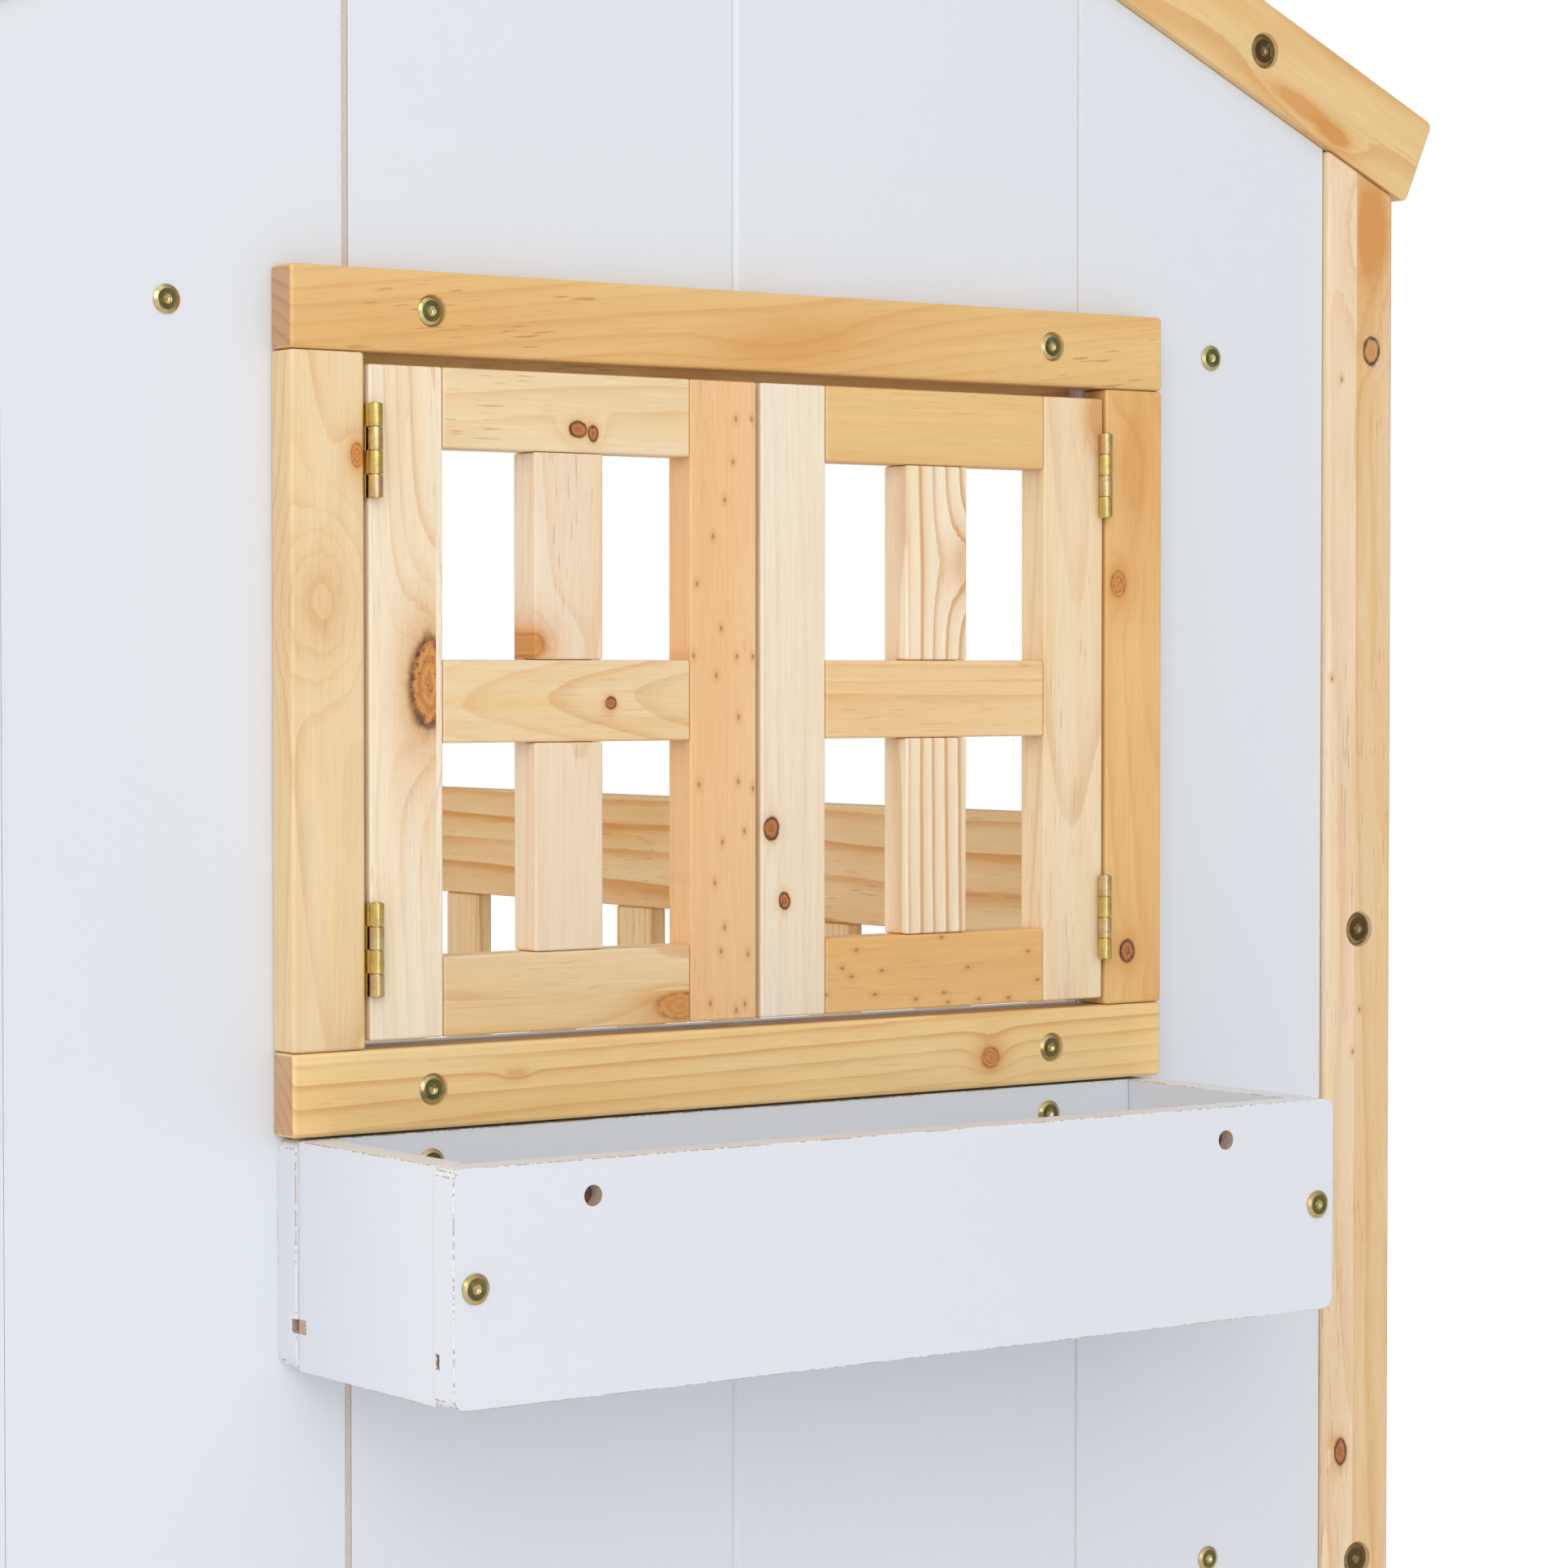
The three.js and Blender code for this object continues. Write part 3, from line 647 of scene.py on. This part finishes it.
def left_shutter():
    pine_board(
        "left_shutter_hinge_stile", "Z", pale=srgb(248, 232, 206), honey=srgb(240, 212, 164), tone=0.4,
        strength=0.35, spacing=5.0, pith=(30, 34), wander=10, dash=0.3, strips=[(18.5, 0.4, -0.45)],
        knots=[{"at": (84, 241), "long": 25, "wide": 12, **LIVE_KNOT, "rim": 0.7, "crack": 0.8,
                "bend": 1.5}],
    )
    pine_board(
        "left_shutter_top_rail", "X", pale=srgb(238, 214, 172), honey=HONEY, tone=0.25,
        strength=0.25, spacing=6.0, pith=(-20, 60), dash=0.4,
        knots=[{"at": (181, 381), "long": 6, "wide": 4.5, **DARK_KNOT},
               {"at": (191, 379), "long": 3.5, "wide": 4.5, **DARK_KNOT}],
    )
    pine_board(
        "left_shutter_mid_rail", "X", pale=CREAM, honey=HONEY, tone=0.35, strength=0.4, spacing=5.0,
        pith=(2, 26), taper=0.09, wander=8, dash=0.15,
        knots=[{"at": (202.7, 229.9), "long": 3.4, "wide": 3.4, **DARK_KNOT}],
    )
    pine_board(
        "left_shutter_bottom_rail", "X", pale=HONEY, honey=PALE, tone=0.5, strength=0.42, spacing=8.0,
        pith=(30, 60), dash=0.2, strips=[(-3.0, -0.3, 0.3)],
        knots=[{"at": (250, 59), "long": 18, "wide": 8, **LIVE_KNOT, "core": 0.4}],
    )
    pine_board(
        "left_shutter_meeting_stile", "Z", pale=srgb(243, 199, 148), honey=srgb(236, 186, 130),
        tone=0.5, late=LATE_SOFT, strength=0.22, spacing=9.0, pith=(40, 60), pins=0.5, dash=0.3,
    )
    pine_board(
        "left_shutter_muntin", "Z", pale=srgb(244, 226, 200), honey=srgb(236, 208, 174), tone=0.5,
        late=LATE_SOFT, strength=0.3, spacing=6.0, pith=(5, 50), dash=0.45,
        knots=[{"at": (149, 262), "long": 8, "wide": 11, **LIVE_KNOT, "core": 0.35, "halo": 1.0,
                "bend": 1.6},
               {"at": (139, 270), "long": 6, "wide": 6, **LIVE_KNOT, "core": 0.6}],
    )


def right_shutter():
    pine_board(
        "right_shutter_meeting_stile", "Z", pale=srgb(244, 230, 208), honey=srgb(240, 220, 188),
        tone=0.4, late=LATE_SOFT, strength=0.15, spacing=7.0, pith=(60, 40), dash=0.1,
        knots=[{"at": (313, 157.7), "long": 6.5, "wide": 5, **DARK_KNOT},
               {"at": (322, 116), "long": 5, "wide": 3.8, **DARK_KNOT}],
    )
    pine_board(
        "right_shutter_hinge_stile", "Z", pale=srgb(246, 226, 194), honey=srgb(236, 202, 146),
        tone=0.45, late=ORANGE, strength=0.25, spacing=12.0, pith=(4, 36), taper=0.08, wander=14,
        dash=0.25,
        knots=[{"at": (556, 401), "long": 12, "wide": 7, **SWIRL, "halo": 0.8, "bend": 3.0,
                "fade": 0.9}],
    )
    pine_board(
        "right_shutter_top_rail", "X", pale=HONEY, honey=AMBER, tone=0.2, late=LATE_SOFT, strength=0.3,
        spacing=8.0, pith=(-50, 60), dash=0.2,
    )
    pine_board(
        "right_shutter_mid_rail", "X", pale=srgb(244, 210, 160), honey=srgb(232, 188, 126), tone=0.35,
        strength=0.6, spacing=9.0, pith=(-34, 50), dash=0.2, strips=[(10.0, 0.5, -0.3)],
    )
    pine_board(
        "right_shutter_bottom_rail", "X", pale=srgb(238, 192, 126), honey=srgb(230, 174, 102),
        tone=0.45, late=LATE_SOFT, strength=0.25, spacing=9.0, pith=(-60, 50), pins=0.7, dash=0.15,
    )
    pine_board(
        "right_shutter_muntin", "Z", pale=srgb(250, 236, 210), honey=srgb(244, 222, 184), tone=0.4,
        strength=0.75, spacing=9.5, pith=(60, 12), wander=6, dash=0.1,
        knots=[{"at": (456, 311), "long": 12, "wide": 9, **SWIRL}],
    )


# ---------------------------------------------------------------- posts, roof, battens and rails
POST_HOLE = 11.4


def face_holes(node, heights):
    """Bolt holes in a post's front or rear face, on its middle line."""
    middle = centre_of(node)
    return [("XZ", Vector((middle.x, 0, CORNER.z + z * MM)), POST_HOLE * MM) for z in heights]


def side_holes(y, heights):
    """Bolt holes in a post's outer side face."""
    return [("YZ", Vector((0, y, CORNER.z + z * MM)), POST_HOLE * MM) for z in heights]


SIDE_RAIL_BOLTS = (82, -324)
REAR_RAIL_BOLTS = (126, -296)
BATTEN_BOLTS = (436, 4.5, -302)


def post_holes(node):
    """Every bolt hole of one post."""
    if "front" in node:
        holes = side_holes(centre_of("batten_upper").y, BATTEN_BOLTS)
    else:
        holes = side_holes(centre_of("rear_rail_upper").y, REAR_RAIL_BOLTS)
    if "right" in node:
        holes += face_holes(node, SIDE_RAIL_BOLTS)
    return holes


def posts():
    pine_board(
        "post_front_right", "Z", radius=3.5, holes=post_holes("post_front_right"),
        pale=srgb(242, 216, 182), honey=srgb(226, 184, 116), tone=0.1, strength=0.5, spacing=9.0,
        pith=(25, 60), wander=12, dash=0.4, pins=0.06, strips=[(-4.0, 0.45, 0.42)],
        knots=[{"at": (799, 528), "long": 30, "wide": 12, **SWIRL, "halo": 0.9, "bend": 2.6,
                "fade": 1.4},
               {"at": (800, 452), "long": 9, "wide": 7, **DARK_KNOT, "core": 0.5, "halo": 0.3},
               {"at": (776, -253), "long": 8, "wide": 5, **DARK_KNOT}],
    )
    for node in ("post_front_left", "post_rear_left", "post_rear_right"):
        pine_board(
            node, "Z", radius=3.5, holes=post_holes(node), pale=PALE, honey=HONEY, tone=0.4,
            strength=0.5, spacing=6.5, pith=(25, 60), wander=12, dash=0.3, strips=[(0.0, 0.45, 0.25)],
        )


ROOF_PITCH = math.radians(24.5)
RAFTER_FIGURE = [
    {"at": (738, 603), "long": 24, "wide": 6, **SWIRL, "halo": 0.75, "fade": 2.2, "bend": 3.0},
    {"at": (764, 588), "long": 15, "wide": 6, **SWIRL, "halo": 0.9, "fade": 2.4, "bend": 2.0},
]


def roof():
    for side, sign in (("left", -1), ("right", 1)):
        purlin = centre_of(f"purlin_{side}")
        for end in ("front", "rear"):
            node = f"rafter_{end}_{side}"
            pine_board(
                node, "X", radius=3.0, holes=[("XZ", purlin, POST_HOLE * MM)], tilt=-sign * ROOF_PITCH,
                pale=srgb(236, 204, 146), honey=srgb(226, 180, 112), tone=0.35, late=ORANGE,
                strength=0.6, spacing=26.0, pith=(-62, 40), dash=0.15, wander=16,
                knots=RAFTER_FIGURE if node == "rafter_front_right" else (),
            )
        pine_board(f"purlin_{side}", "Y", radius=2.5, strength=0.5, spacing=6.0, pith=(-30, 60))
    pine_board("ridge_beam", "Y", radius=2.5, strength=0.5, spacing=6.0, pith=(-40, 50))


def battens_and_rails():
    for key in ("upper", "sill", "lower"):
        pine_board(f"batten_{key}", "X", radius=1.5, strength=0.5, spacing=6.0, pith=(-30, 60))
    for key in ("upper", "lower"):
        pine_board(
            f"side_rail_{key}", "Y", radius=2.0, pale=PALE, honey=AMBER, tone=0.4, strength=0.9,
            spacing=19.0, pith=(-60, 40), wander=10,
        )
        pine_board(f"rear_rail_{key}", "X", radius=2.0, strength=0.6, spacing=9.0, pith=(-50, 50))
    index = 1
    while f"side_baluster_{index}" in NODES:
        pine_board(
            f"side_baluster_{index}", "Z", radius=2.0, pale=PALE, honey=HONEY, tone=0.4, strength=0.55,
            spacing=6.0, pith=(-20 + 9 * index, 45),
        )
        index += 1


# ---------------------------------------------------------------- wall and planter
WALL_BOARDS = (
    "wall_closing_strip", "wall_board_left", "wall_board_right", "wall_board_over_window",
    "wall_board_under_window",
)


def wall():
    """White boards whose sawn edges show the fibreboard, made paler: partly a greyer fibre, partly painted
    light in the shaded gaps between boards.
    """
    for index, name in enumerate(WALL_BOARDS):
        bare = cut_sides if name.endswith("window") else between_faces
        # The 0.45 pales the bare fibre: partly a greyer colour, partly painted light where the gaps are
        # shaded.
        face = white_board("coating_" + name, bare=bare, seed=index * 1.3, grey_and_painted_light=0.45)
        arris = white_board("arris_" + name, seed=index * 1.3 + 0.5)
        eased_board(name, 0.7, [face, arris], steps=2, edge_slot=1)


ACCESS_Z = -20.5  # the two plain holes in the planter's front
ACCESS_R = 5.5
CHIPPED = 0.38  # how much of the planter's arrises has lost its coating
BEYOND = 1.0  # metres: a mask that runs out past both ends of the planter
SLOT_PLAY = 0.4  # past the floor panel's faces, and at its edges
SLOT_END = 0.6
FRONT_LIP = 0.5
SIDE_NOTCH = 8.0  # how far bare board shows in the ends, in front of the back board


def floor_slots():
    """A mask of the front and back slots that the planter's floor stands in."""
    front_low, front_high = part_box("planter_front")
    floor_low, floor_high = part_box("planter_floor")
    back_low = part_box("planter_back")[0]
    left, right = front_low.x - BEYOND, front_high.x + BEYOND
    bottom, top = floor_low.z - SLOT_PLAY * MM, floor_high.z + SLOT_PLAY * MM
    return either(
        inside_box((left, floor_low.y - SLOT_END * MM, bottom), (right, front_high.y + FRONT_LIP * MM, top)),
        inside_box((left, back_low.y - SIDE_NOTCH * MM, bottom), (right, floor_high.y + SLOT_END * MM, top)),
    )


def planter():
    """White boards with chipped arrises, bare in their slots and on the walls of the plain holes."""
    slots = floor_slots()
    bores = [(CORNER.x + x * MM, CORNER.z + ACCESS_Z * MM, ACCESS_R * MM) for x in HOLES_X]
    holes = [("XZ", Vector((x, 0, z)), r) for x, z, r in bores]
    cut = {"front": either(slots, inside_bores(bores)), "back": slots, "left": slots, "right": slots}
    for index, key in enumerate(("front", "back", "left", "right", "floor")):
        node = "planter_" + key
        bare = cut.get(key)
        face = white_board("coating_" + node, bare=bare, seed=20 + index)
        arris = chipped_arris("arris_" + node, CHIPPED, seed=30 + index)
        rims = holes if key == "front" else ()
        eased_board(node, 0.5, [face, arris], holes=rims, steps=2, edge_slot=1)


# ---------------------------------------------------------------- bolts and hinges
ROUND = 48


def ring(bm, radius, height, sides=0):
    """A closed ring of points: round, or a polygon with the same number of points."""
    points = []
    for i in range(ROUND):
        angle = 2 * math.pi * i / ROUND
        reach = radius
        if sides:
            part = (angle % (2 * math.pi / sides)) - math.pi / sides
            reach = radius * math.cos(math.pi / sides) / math.cos(part)
        x, y = reach * math.cos(angle), reach * math.sin(angle)
        points.append(bm.verts.new((x * MM, y * MM, height * MM)))
    return points


def band(bm, lower, upper):
    """The faces between two rings."""
    for i in range(ROUND):
        j = (i + 1) % ROUND
        bm.faces.new((lower[i], lower[j], upper[j], upper[i]))


def lofted(bm, rings):
    """A solid through a row of rings, closed at both ends."""
    for lower, upper in zip(rings, rings[1:]):
        band(bm, lower, upper)
    bm.faces.new(list(reversed(rings[0])))
    bm.faces.new(rings[-1])


# A bolt head's outline, from under its rim over the flat face and down into the socket: each point's
# share of the head's radius, and its height in millimetres.
HEAD_OUTLINE = (
    (0.93, -0.6), (0.99, 0.0), (1.0, 0.25), (1.0, 0.75), (0.985, 0.95), (0.75, 1.85), (0.72, 1.95),
    (0.68, 1.95), (0.66, 1.80), (0.37, 1.80), (0.345, 1.70),
)
SOCKET_OUTLINE = ((0.34, 1.6), (0.32, 0.4))
SOCKET_FLOOR = (0.1, 0.25)
FLAT_FACE = (0.345, 0.70)
FLAT_ABOVE = 1.7


def bolt_head(name, spot, facing, radius, seed, spin, sunk, dark):
    """A furniture bolt's flat head: chamfered rim, flat face, hexagon socket. spot is on the surface
    that it is drawn against and facing is the way it looks."""
    bm = bmesh.new()
    rings = [ring(bm, radius * share, height) for share, height in HEAD_OUTLINE]
    rings += [ring(bm, radius * share, height, 6) for share, height in SOCKET_OUTLINE]
    rings.append(ring(bm, radius * SOCKET_FLOOR[0], SOCKET_FLOOR[1]))
    lofted(bm, rings)
    flat_from, flat_to = (share * radius * MM for share in FLAT_FACE)
    for face in bm.faces:
        middle = face.calc_center_median()
        if flat_from < middle.xy.length < flat_to and middle.z > FLAT_ABOVE * MM:
            face.material_index = 1
    rim, flat = (DARK_RIM, DARK_FLAT) if dark else (HEAD_RIM, HEAD_FLAT)
    looks = [
        yellow_zinc("rim_" + name, seed, **rim),
        yellow_zinc("face_" + name, seed + 1, rough=0.3, **flat),
    ]
    piece = new_object(name, bm, looks)
    turn = facing.to_track_quat("Z", "Y").to_matrix().to_4x4()
    shift = Matrix.Translation(spot - facing * sunk * MM)
    piece.matrix_world = shift @ turn @ Matrix.Rotation(spin, 4, "Z")
    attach(piece, "house")


FRONT = Vector((0, -1, 0))
BACK = Vector((0, 1, 0))
LEFT = Vector((-1, 0, 0))
RIGHT = Vector((1, 0, 0))
POST_HEAD = 10.2  # radii of the three sizes of head
FRAME_HEAD = 8.0
WALL_HEAD = 7.8
POST_SUNK = 3.0
FRAME_SUNK = 2.2
WALL_BOLTS_X = {"left": -61.8, "right": 666.7}
WALL_BOLTS_Z = {"upper": 442, "lower": -309}
PLANTER_BOLT_IN = 12.8  # from each end of the planter's front
PLANTER_FRONT_Z = -62.5
PLANTER_BACK_Z = -18.6


def bolts():
    """Every bolt head. The random draws give each its own tint and turn its socket a little."""
    rng = random.Random(7)

    def bolt(name, x, y, z, radius, facing=FRONT, sunk=0.0, dark=False):
        seed, spin = rng.uniform(0, 50), rng.uniform(0, 1)
        bolt_head(name, place(x, y, z), facing, radius, seed, spin, sunk, dark)

    frame_face = local(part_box("window_frame_bottom")[0]).y
    for key, z in FRAME_HOLES_Z.items():
        for side, x in zip(("left", "right"), HOLES_X):
            bolt(f"frame_bolt_{key}_{side}", x, frame_face, z, FRAME_HEAD, sunk=FRAME_SUNK)
    for side, x in WALL_BOLTS_X.items():
        for key, z in WALL_BOLTS_Z.items():
            bolt(f"wall_bolt_{key}_{side}", x, 0, z, WALL_HEAD)
    planter_low, planter_high = (local(p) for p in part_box("planter_front"))
    ends = (planter_low.x + PLANTER_BOLT_IN, planter_high.x - PLANTER_BOLT_IN)
    for side, x in zip(("left", "right"), ends):
        bolt(f"planter_bolt_front_{side}", x, planter_low.y, PLANTER_FRONT_Z, FRAME_HEAD)
    back_low = local(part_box("planter_back")[0])
    for side, x in zip(("left", "right"), HOLES_X):
        bolt(f"planter_bolt_back_{side}", x, back_low.y, PLANTER_BACK_Z, FRAME_HEAD)
    for node in sorted(n for n in NODES if n.startswith("post_")):
        post_bolts(bolt, node)
    for node in sorted(n for n in NODES if n.startswith("rafter_")):
        end, side = node.split("_")[1:]
        purlin = local(centre_of("purlin_" + side))
        low, high = (local(p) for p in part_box(node))
        face, way = (low.y, FRONT) if end == "front" else (high.y, BACK)
        bolt("bolt_" + node, purlin.x, face, purlin.z, POST_HEAD, way, POST_SUNK, dark=True)


def post_bolts(bolt, node):
    """A head in every counterbore of a post: the rails' and the battens' bolts."""
    low, high = (local(p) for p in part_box(node))
    x, way = (low.x, LEFT) if node.endswith("left") else (high.x, RIGHT)
    for index, (plane, spot, _) in enumerate(post_holes(node)):
        at = local(spot)
        if plane == "YZ":
            bolt(f"bolt_{node}_side_{index}", x, at.y, at.z, POST_HEAD, way, POST_SUNK, dark=True)
        else:
            y, out = (low.y, FRONT) if "front" in node else (high.y, BACK)
            bolt(f"bolt_{node}_face_{index}", at.x, y, at.z, POST_HEAD, out, POST_SUNK, dark=True)


KNUCKLES = 4
KNUCKLE_GAP = 0.22
BARREL_R = 4.0
LEAF_THICK = 0.6  # of the rolled sheet at the barrel
PIN_R = 2.7
PIN_PLAY = 0.15
PIN_PROUD = 0.4  # how far the pin's ends stand out
FRAME_PLATE = (2.95, 3.95)  # the leaves' plates stand off from the pin, on the frame's side
SHUTTER_PLATE = (1.55, 2.55)


def tube(bm, outer, inner, low, high):
    """A knuckle: a short tube with softened ends."""
    soft = 0.25
    rings = [
        ring(bm, inner, low + soft), ring(bm, inner + soft, low), ring(bm, outer - soft, low),
        ring(bm, outer, low + soft), ring(bm, outer, high - soft), ring(bm, outer - soft, high),
        ring(bm, inner + soft, high), ring(bm, inner, high - soft),
    ]
    for lower, upper in zip(rings, rings[1:] + rings[:1]):
        band(bm, lower, upper)


def plate(bm, low, high):
    """A plain block between two corners."""
    low, high = Vector(low) * MM, Vector(high) * MM
    for vert in bmesh.ops.create_cube(bm, size=1.0)["verts"]:
        vert.co = Vector(low[i] + (vert.co[i] + 0.5) * (high[i] - low[i]) for i in range(3))


def hinge_leaf(node, seed):
    """A rolled leaf in the place of its CAD node: two knuckles round the pin and a plate in the gap."""
    low, high = (local(p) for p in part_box(node))
    x, y = (low.x + high.x) / 2, low.y + BARREL_R
    on_frame = node.endswith("frame_leaf")
    first = on_frame == node.startswith("right")
    bottom, top = (local(p).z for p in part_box(node.replace("frame_leaf", "shutter_leaf")))
    height = top - bottom
    step = height / KNUCKLES
    back = -1 if node.startswith("left") else 1
    near, far = FRAME_PLATE if on_frame else SHUTTER_PLATE
    left, right = sorted((back * near, back * far))
    tab_from = math.sqrt((BARREL_R - LEAF_THICK) ** 2 - near ** 2)
    bm = bmesh.new()
    for i in range(KNUCKLES):
        if (i % 2 == 0) == first:
            a, b = i * step + KNUCKLE_GAP, (i + 1) * step - KNUCKLE_GAP
            tube(bm, BARREL_R, PIN_R + PIN_PLAY, a, b)
            plate(bm, (left, tab_from, a), (right, BARREL_R + 1.0, b))
    plate(bm, (left, BARREL_R + 0.5, 0), (right, high.y - y, height))
    if on_frame:
        lofted(bm, [
            ring(bm, PIN_R - 0.7, -PIN_PROUD), ring(bm, PIN_R - 0.15, -0.2), ring(bm, PIN_R, 0.2),
            ring(bm, PIN_R, height - 0.2), ring(bm, PIN_R - 0.15, height + 0.2),
            ring(bm, PIN_R - 0.7, height + PIN_PROUD),
        ])
    looks = GOLD_LEAF if on_frame else ROSE_LEAF
    piece = new_object(node + "_rolled", bm, [yellow_zinc("zinc_" + node, seed, **looks)])
    piece.location = place(x, y, bottom)
    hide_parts(node)
    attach(piece, BODY_OF[node])


def hinges():
    leaves = sorted(n for n in NODES if n.endswith("_leaf"))
    for index, node in enumerate(leaves):
        hinge_leaf(node, seed=3.1 * index)


# ---------------------------------------------------------------- floor, light and camera
FLOOR_HALF = 12.0  # metres
FLOOR_GLOW = 0.5
SOFT_LIGHT_FROM = Vector((-0.82, -0.46, 0.34))
SOFT_LIGHT_MAP = (-0.45, 0.75, 0.42, 0.90)  # from this far round to that, from this strength to that
# Each light's place, what it points at, its size in metres and its power in watts.
LIGHTS = {
    "key": ((-3.4, -5.2, 3.2), (0, -0.4, 0.7), 3.2, 82),
    "low fill": ((-0.9, -4.6, 0.9), (0.1, -0.6, 0.35), 1.8, 9),
    "top fill": ((-0.6, -2.4, 4.2), (0, -0.7, 0.5), 2.4, 9),
    "side": ((-4.0, 1.2, 1.6), (0, 0.2, 0.7), 2.4, 22),
}


def floor():
    """The pale floor. It glows a little where the camera sees it, so that it melts into the white."""
    bm = bmesh.new()
    bmesh.ops.create_grid(bm, x_segments=2, y_segments=2, size=FLOOR_HALF)
    g = Graph("pale_floor")
    spot = g.node("ShaderNodeTexCoord").outputs["Object"]
    cloud = g.noise(spot, 0.7, 2.0, 0.5, 1.0)[0]
    colour = g.mix(cloud, srgb(240, 240, 240), srgb(246, 246, 246))
    seen = g.node("ShaderNodeLightPath").outputs["Is Camera Ray"]
    g.feed(g.shader.inputs["Emission Strength"], g.mul(seen, FLOOR_GLOW))
    material = g.finish(colour, 0.7, Emission_Color=(1, 1, 1, 1))
    new_object("floor", bm, [material], smooth=False)


def area_light(name, spot, target, size, power):
    data = bpy.data.lights.new(name, "AREA")
    data.shape = "SQUARE"
    data.size = size
    data.energy = power
    lamp = bpy.data.objects.new(name, data)
    bpy.context.scene.collection.objects.link(lamp)
    lamp.location = spot
    lamp.rotation_euler = (Vector(target) - Vector(spot)).to_track_quat("-Z", "Y").to_euler()


def studio():
    """White where the camera looks past the object; for its light, brighter from the front left."""
    world = bpy.data.worlds.new("studio")
    bpy.context.scene.world = world
    world.use_nodes = True
    nodes, links = world.node_tree.nodes, world.node_tree.links
    nodes.clear()
    out = nodes.new("ShaderNodeOutputWorld")
    seen = nodes.new("ShaderNodeBackground")
    seen.inputs["Color"].default_value = (1, 1, 1, 1)
    seen.inputs["Strength"].default_value = 1.0
    ways = nodes.new("ShaderNodeTexCoord")
    facing = nodes.new("ShaderNodeVectorMath")
    facing.operation = "DOT_PRODUCT"
    facing.inputs[1].default_value = SOFT_LIGHT_FROM.normalized()
    soft = nodes.new("ShaderNodeMapRange")
    soft.interpolation_type = "SMOOTHSTEP"
    for index, number in enumerate(SOFT_LIGHT_MAP, start=1):
        soft.inputs[index].default_value = number
    glow = nodes.new("ShaderNodeBackground")
    glow.inputs["Color"].default_value = (1, 1, 1, 1)
    pick = nodes.new("ShaderNodeMixShader")
    path = nodes.new("ShaderNodeLightPath")
    links.new(ways.outputs["Generated"], facing.inputs[0])
    links.new(facing.outputs["Value"], soft.inputs[0])
    links.new(soft.outputs[0], glow.inputs["Strength"])
    links.new(path.outputs["Is Camera Ray"], pick.inputs[0])
    links.new(glow.outputs[0], pick.inputs[1])
    links.new(seen.outputs[0], pick.inputs[2])
    links.new(pick.outputs[0], out.inputs["Surface"])
    for name, (spot, target, size, power) in LIGHTS.items():
        area_light(name, spot, target, size, power)


SENSOR = 36.0
LENS = 98.142857
EYE = (-1122, -1996, 250)
LOOKS_DOWN = 1.57  # degrees
LOOKS_RIGHT = 36.18


def camera():
    data = bpy.data.cameras.new("camera")
    data.sensor_width = SENSOR
    data.lens = LENS
    data.clip_end = 60
    eye = bpy.data.objects.new("camera", data)
    bpy.context.scene.collection.objects.link(eye)
    eye.location = place(*EYE)
    eye.rotation_euler = Euler((math.radians(90 - LOOKS_DOWN), 0, math.radians(-LOOKS_RIGHT)), "XYZ")
    bpy.context.scene.camera = eye


window_frame()
left_shutter()
right_shutter()
posts()
roof()
battens_and_rails()
wall()
planter()
bolts()
hinges()
floor()
studio()
camera()
bpy.context.scene.view_settings.view_transform = "Standard"
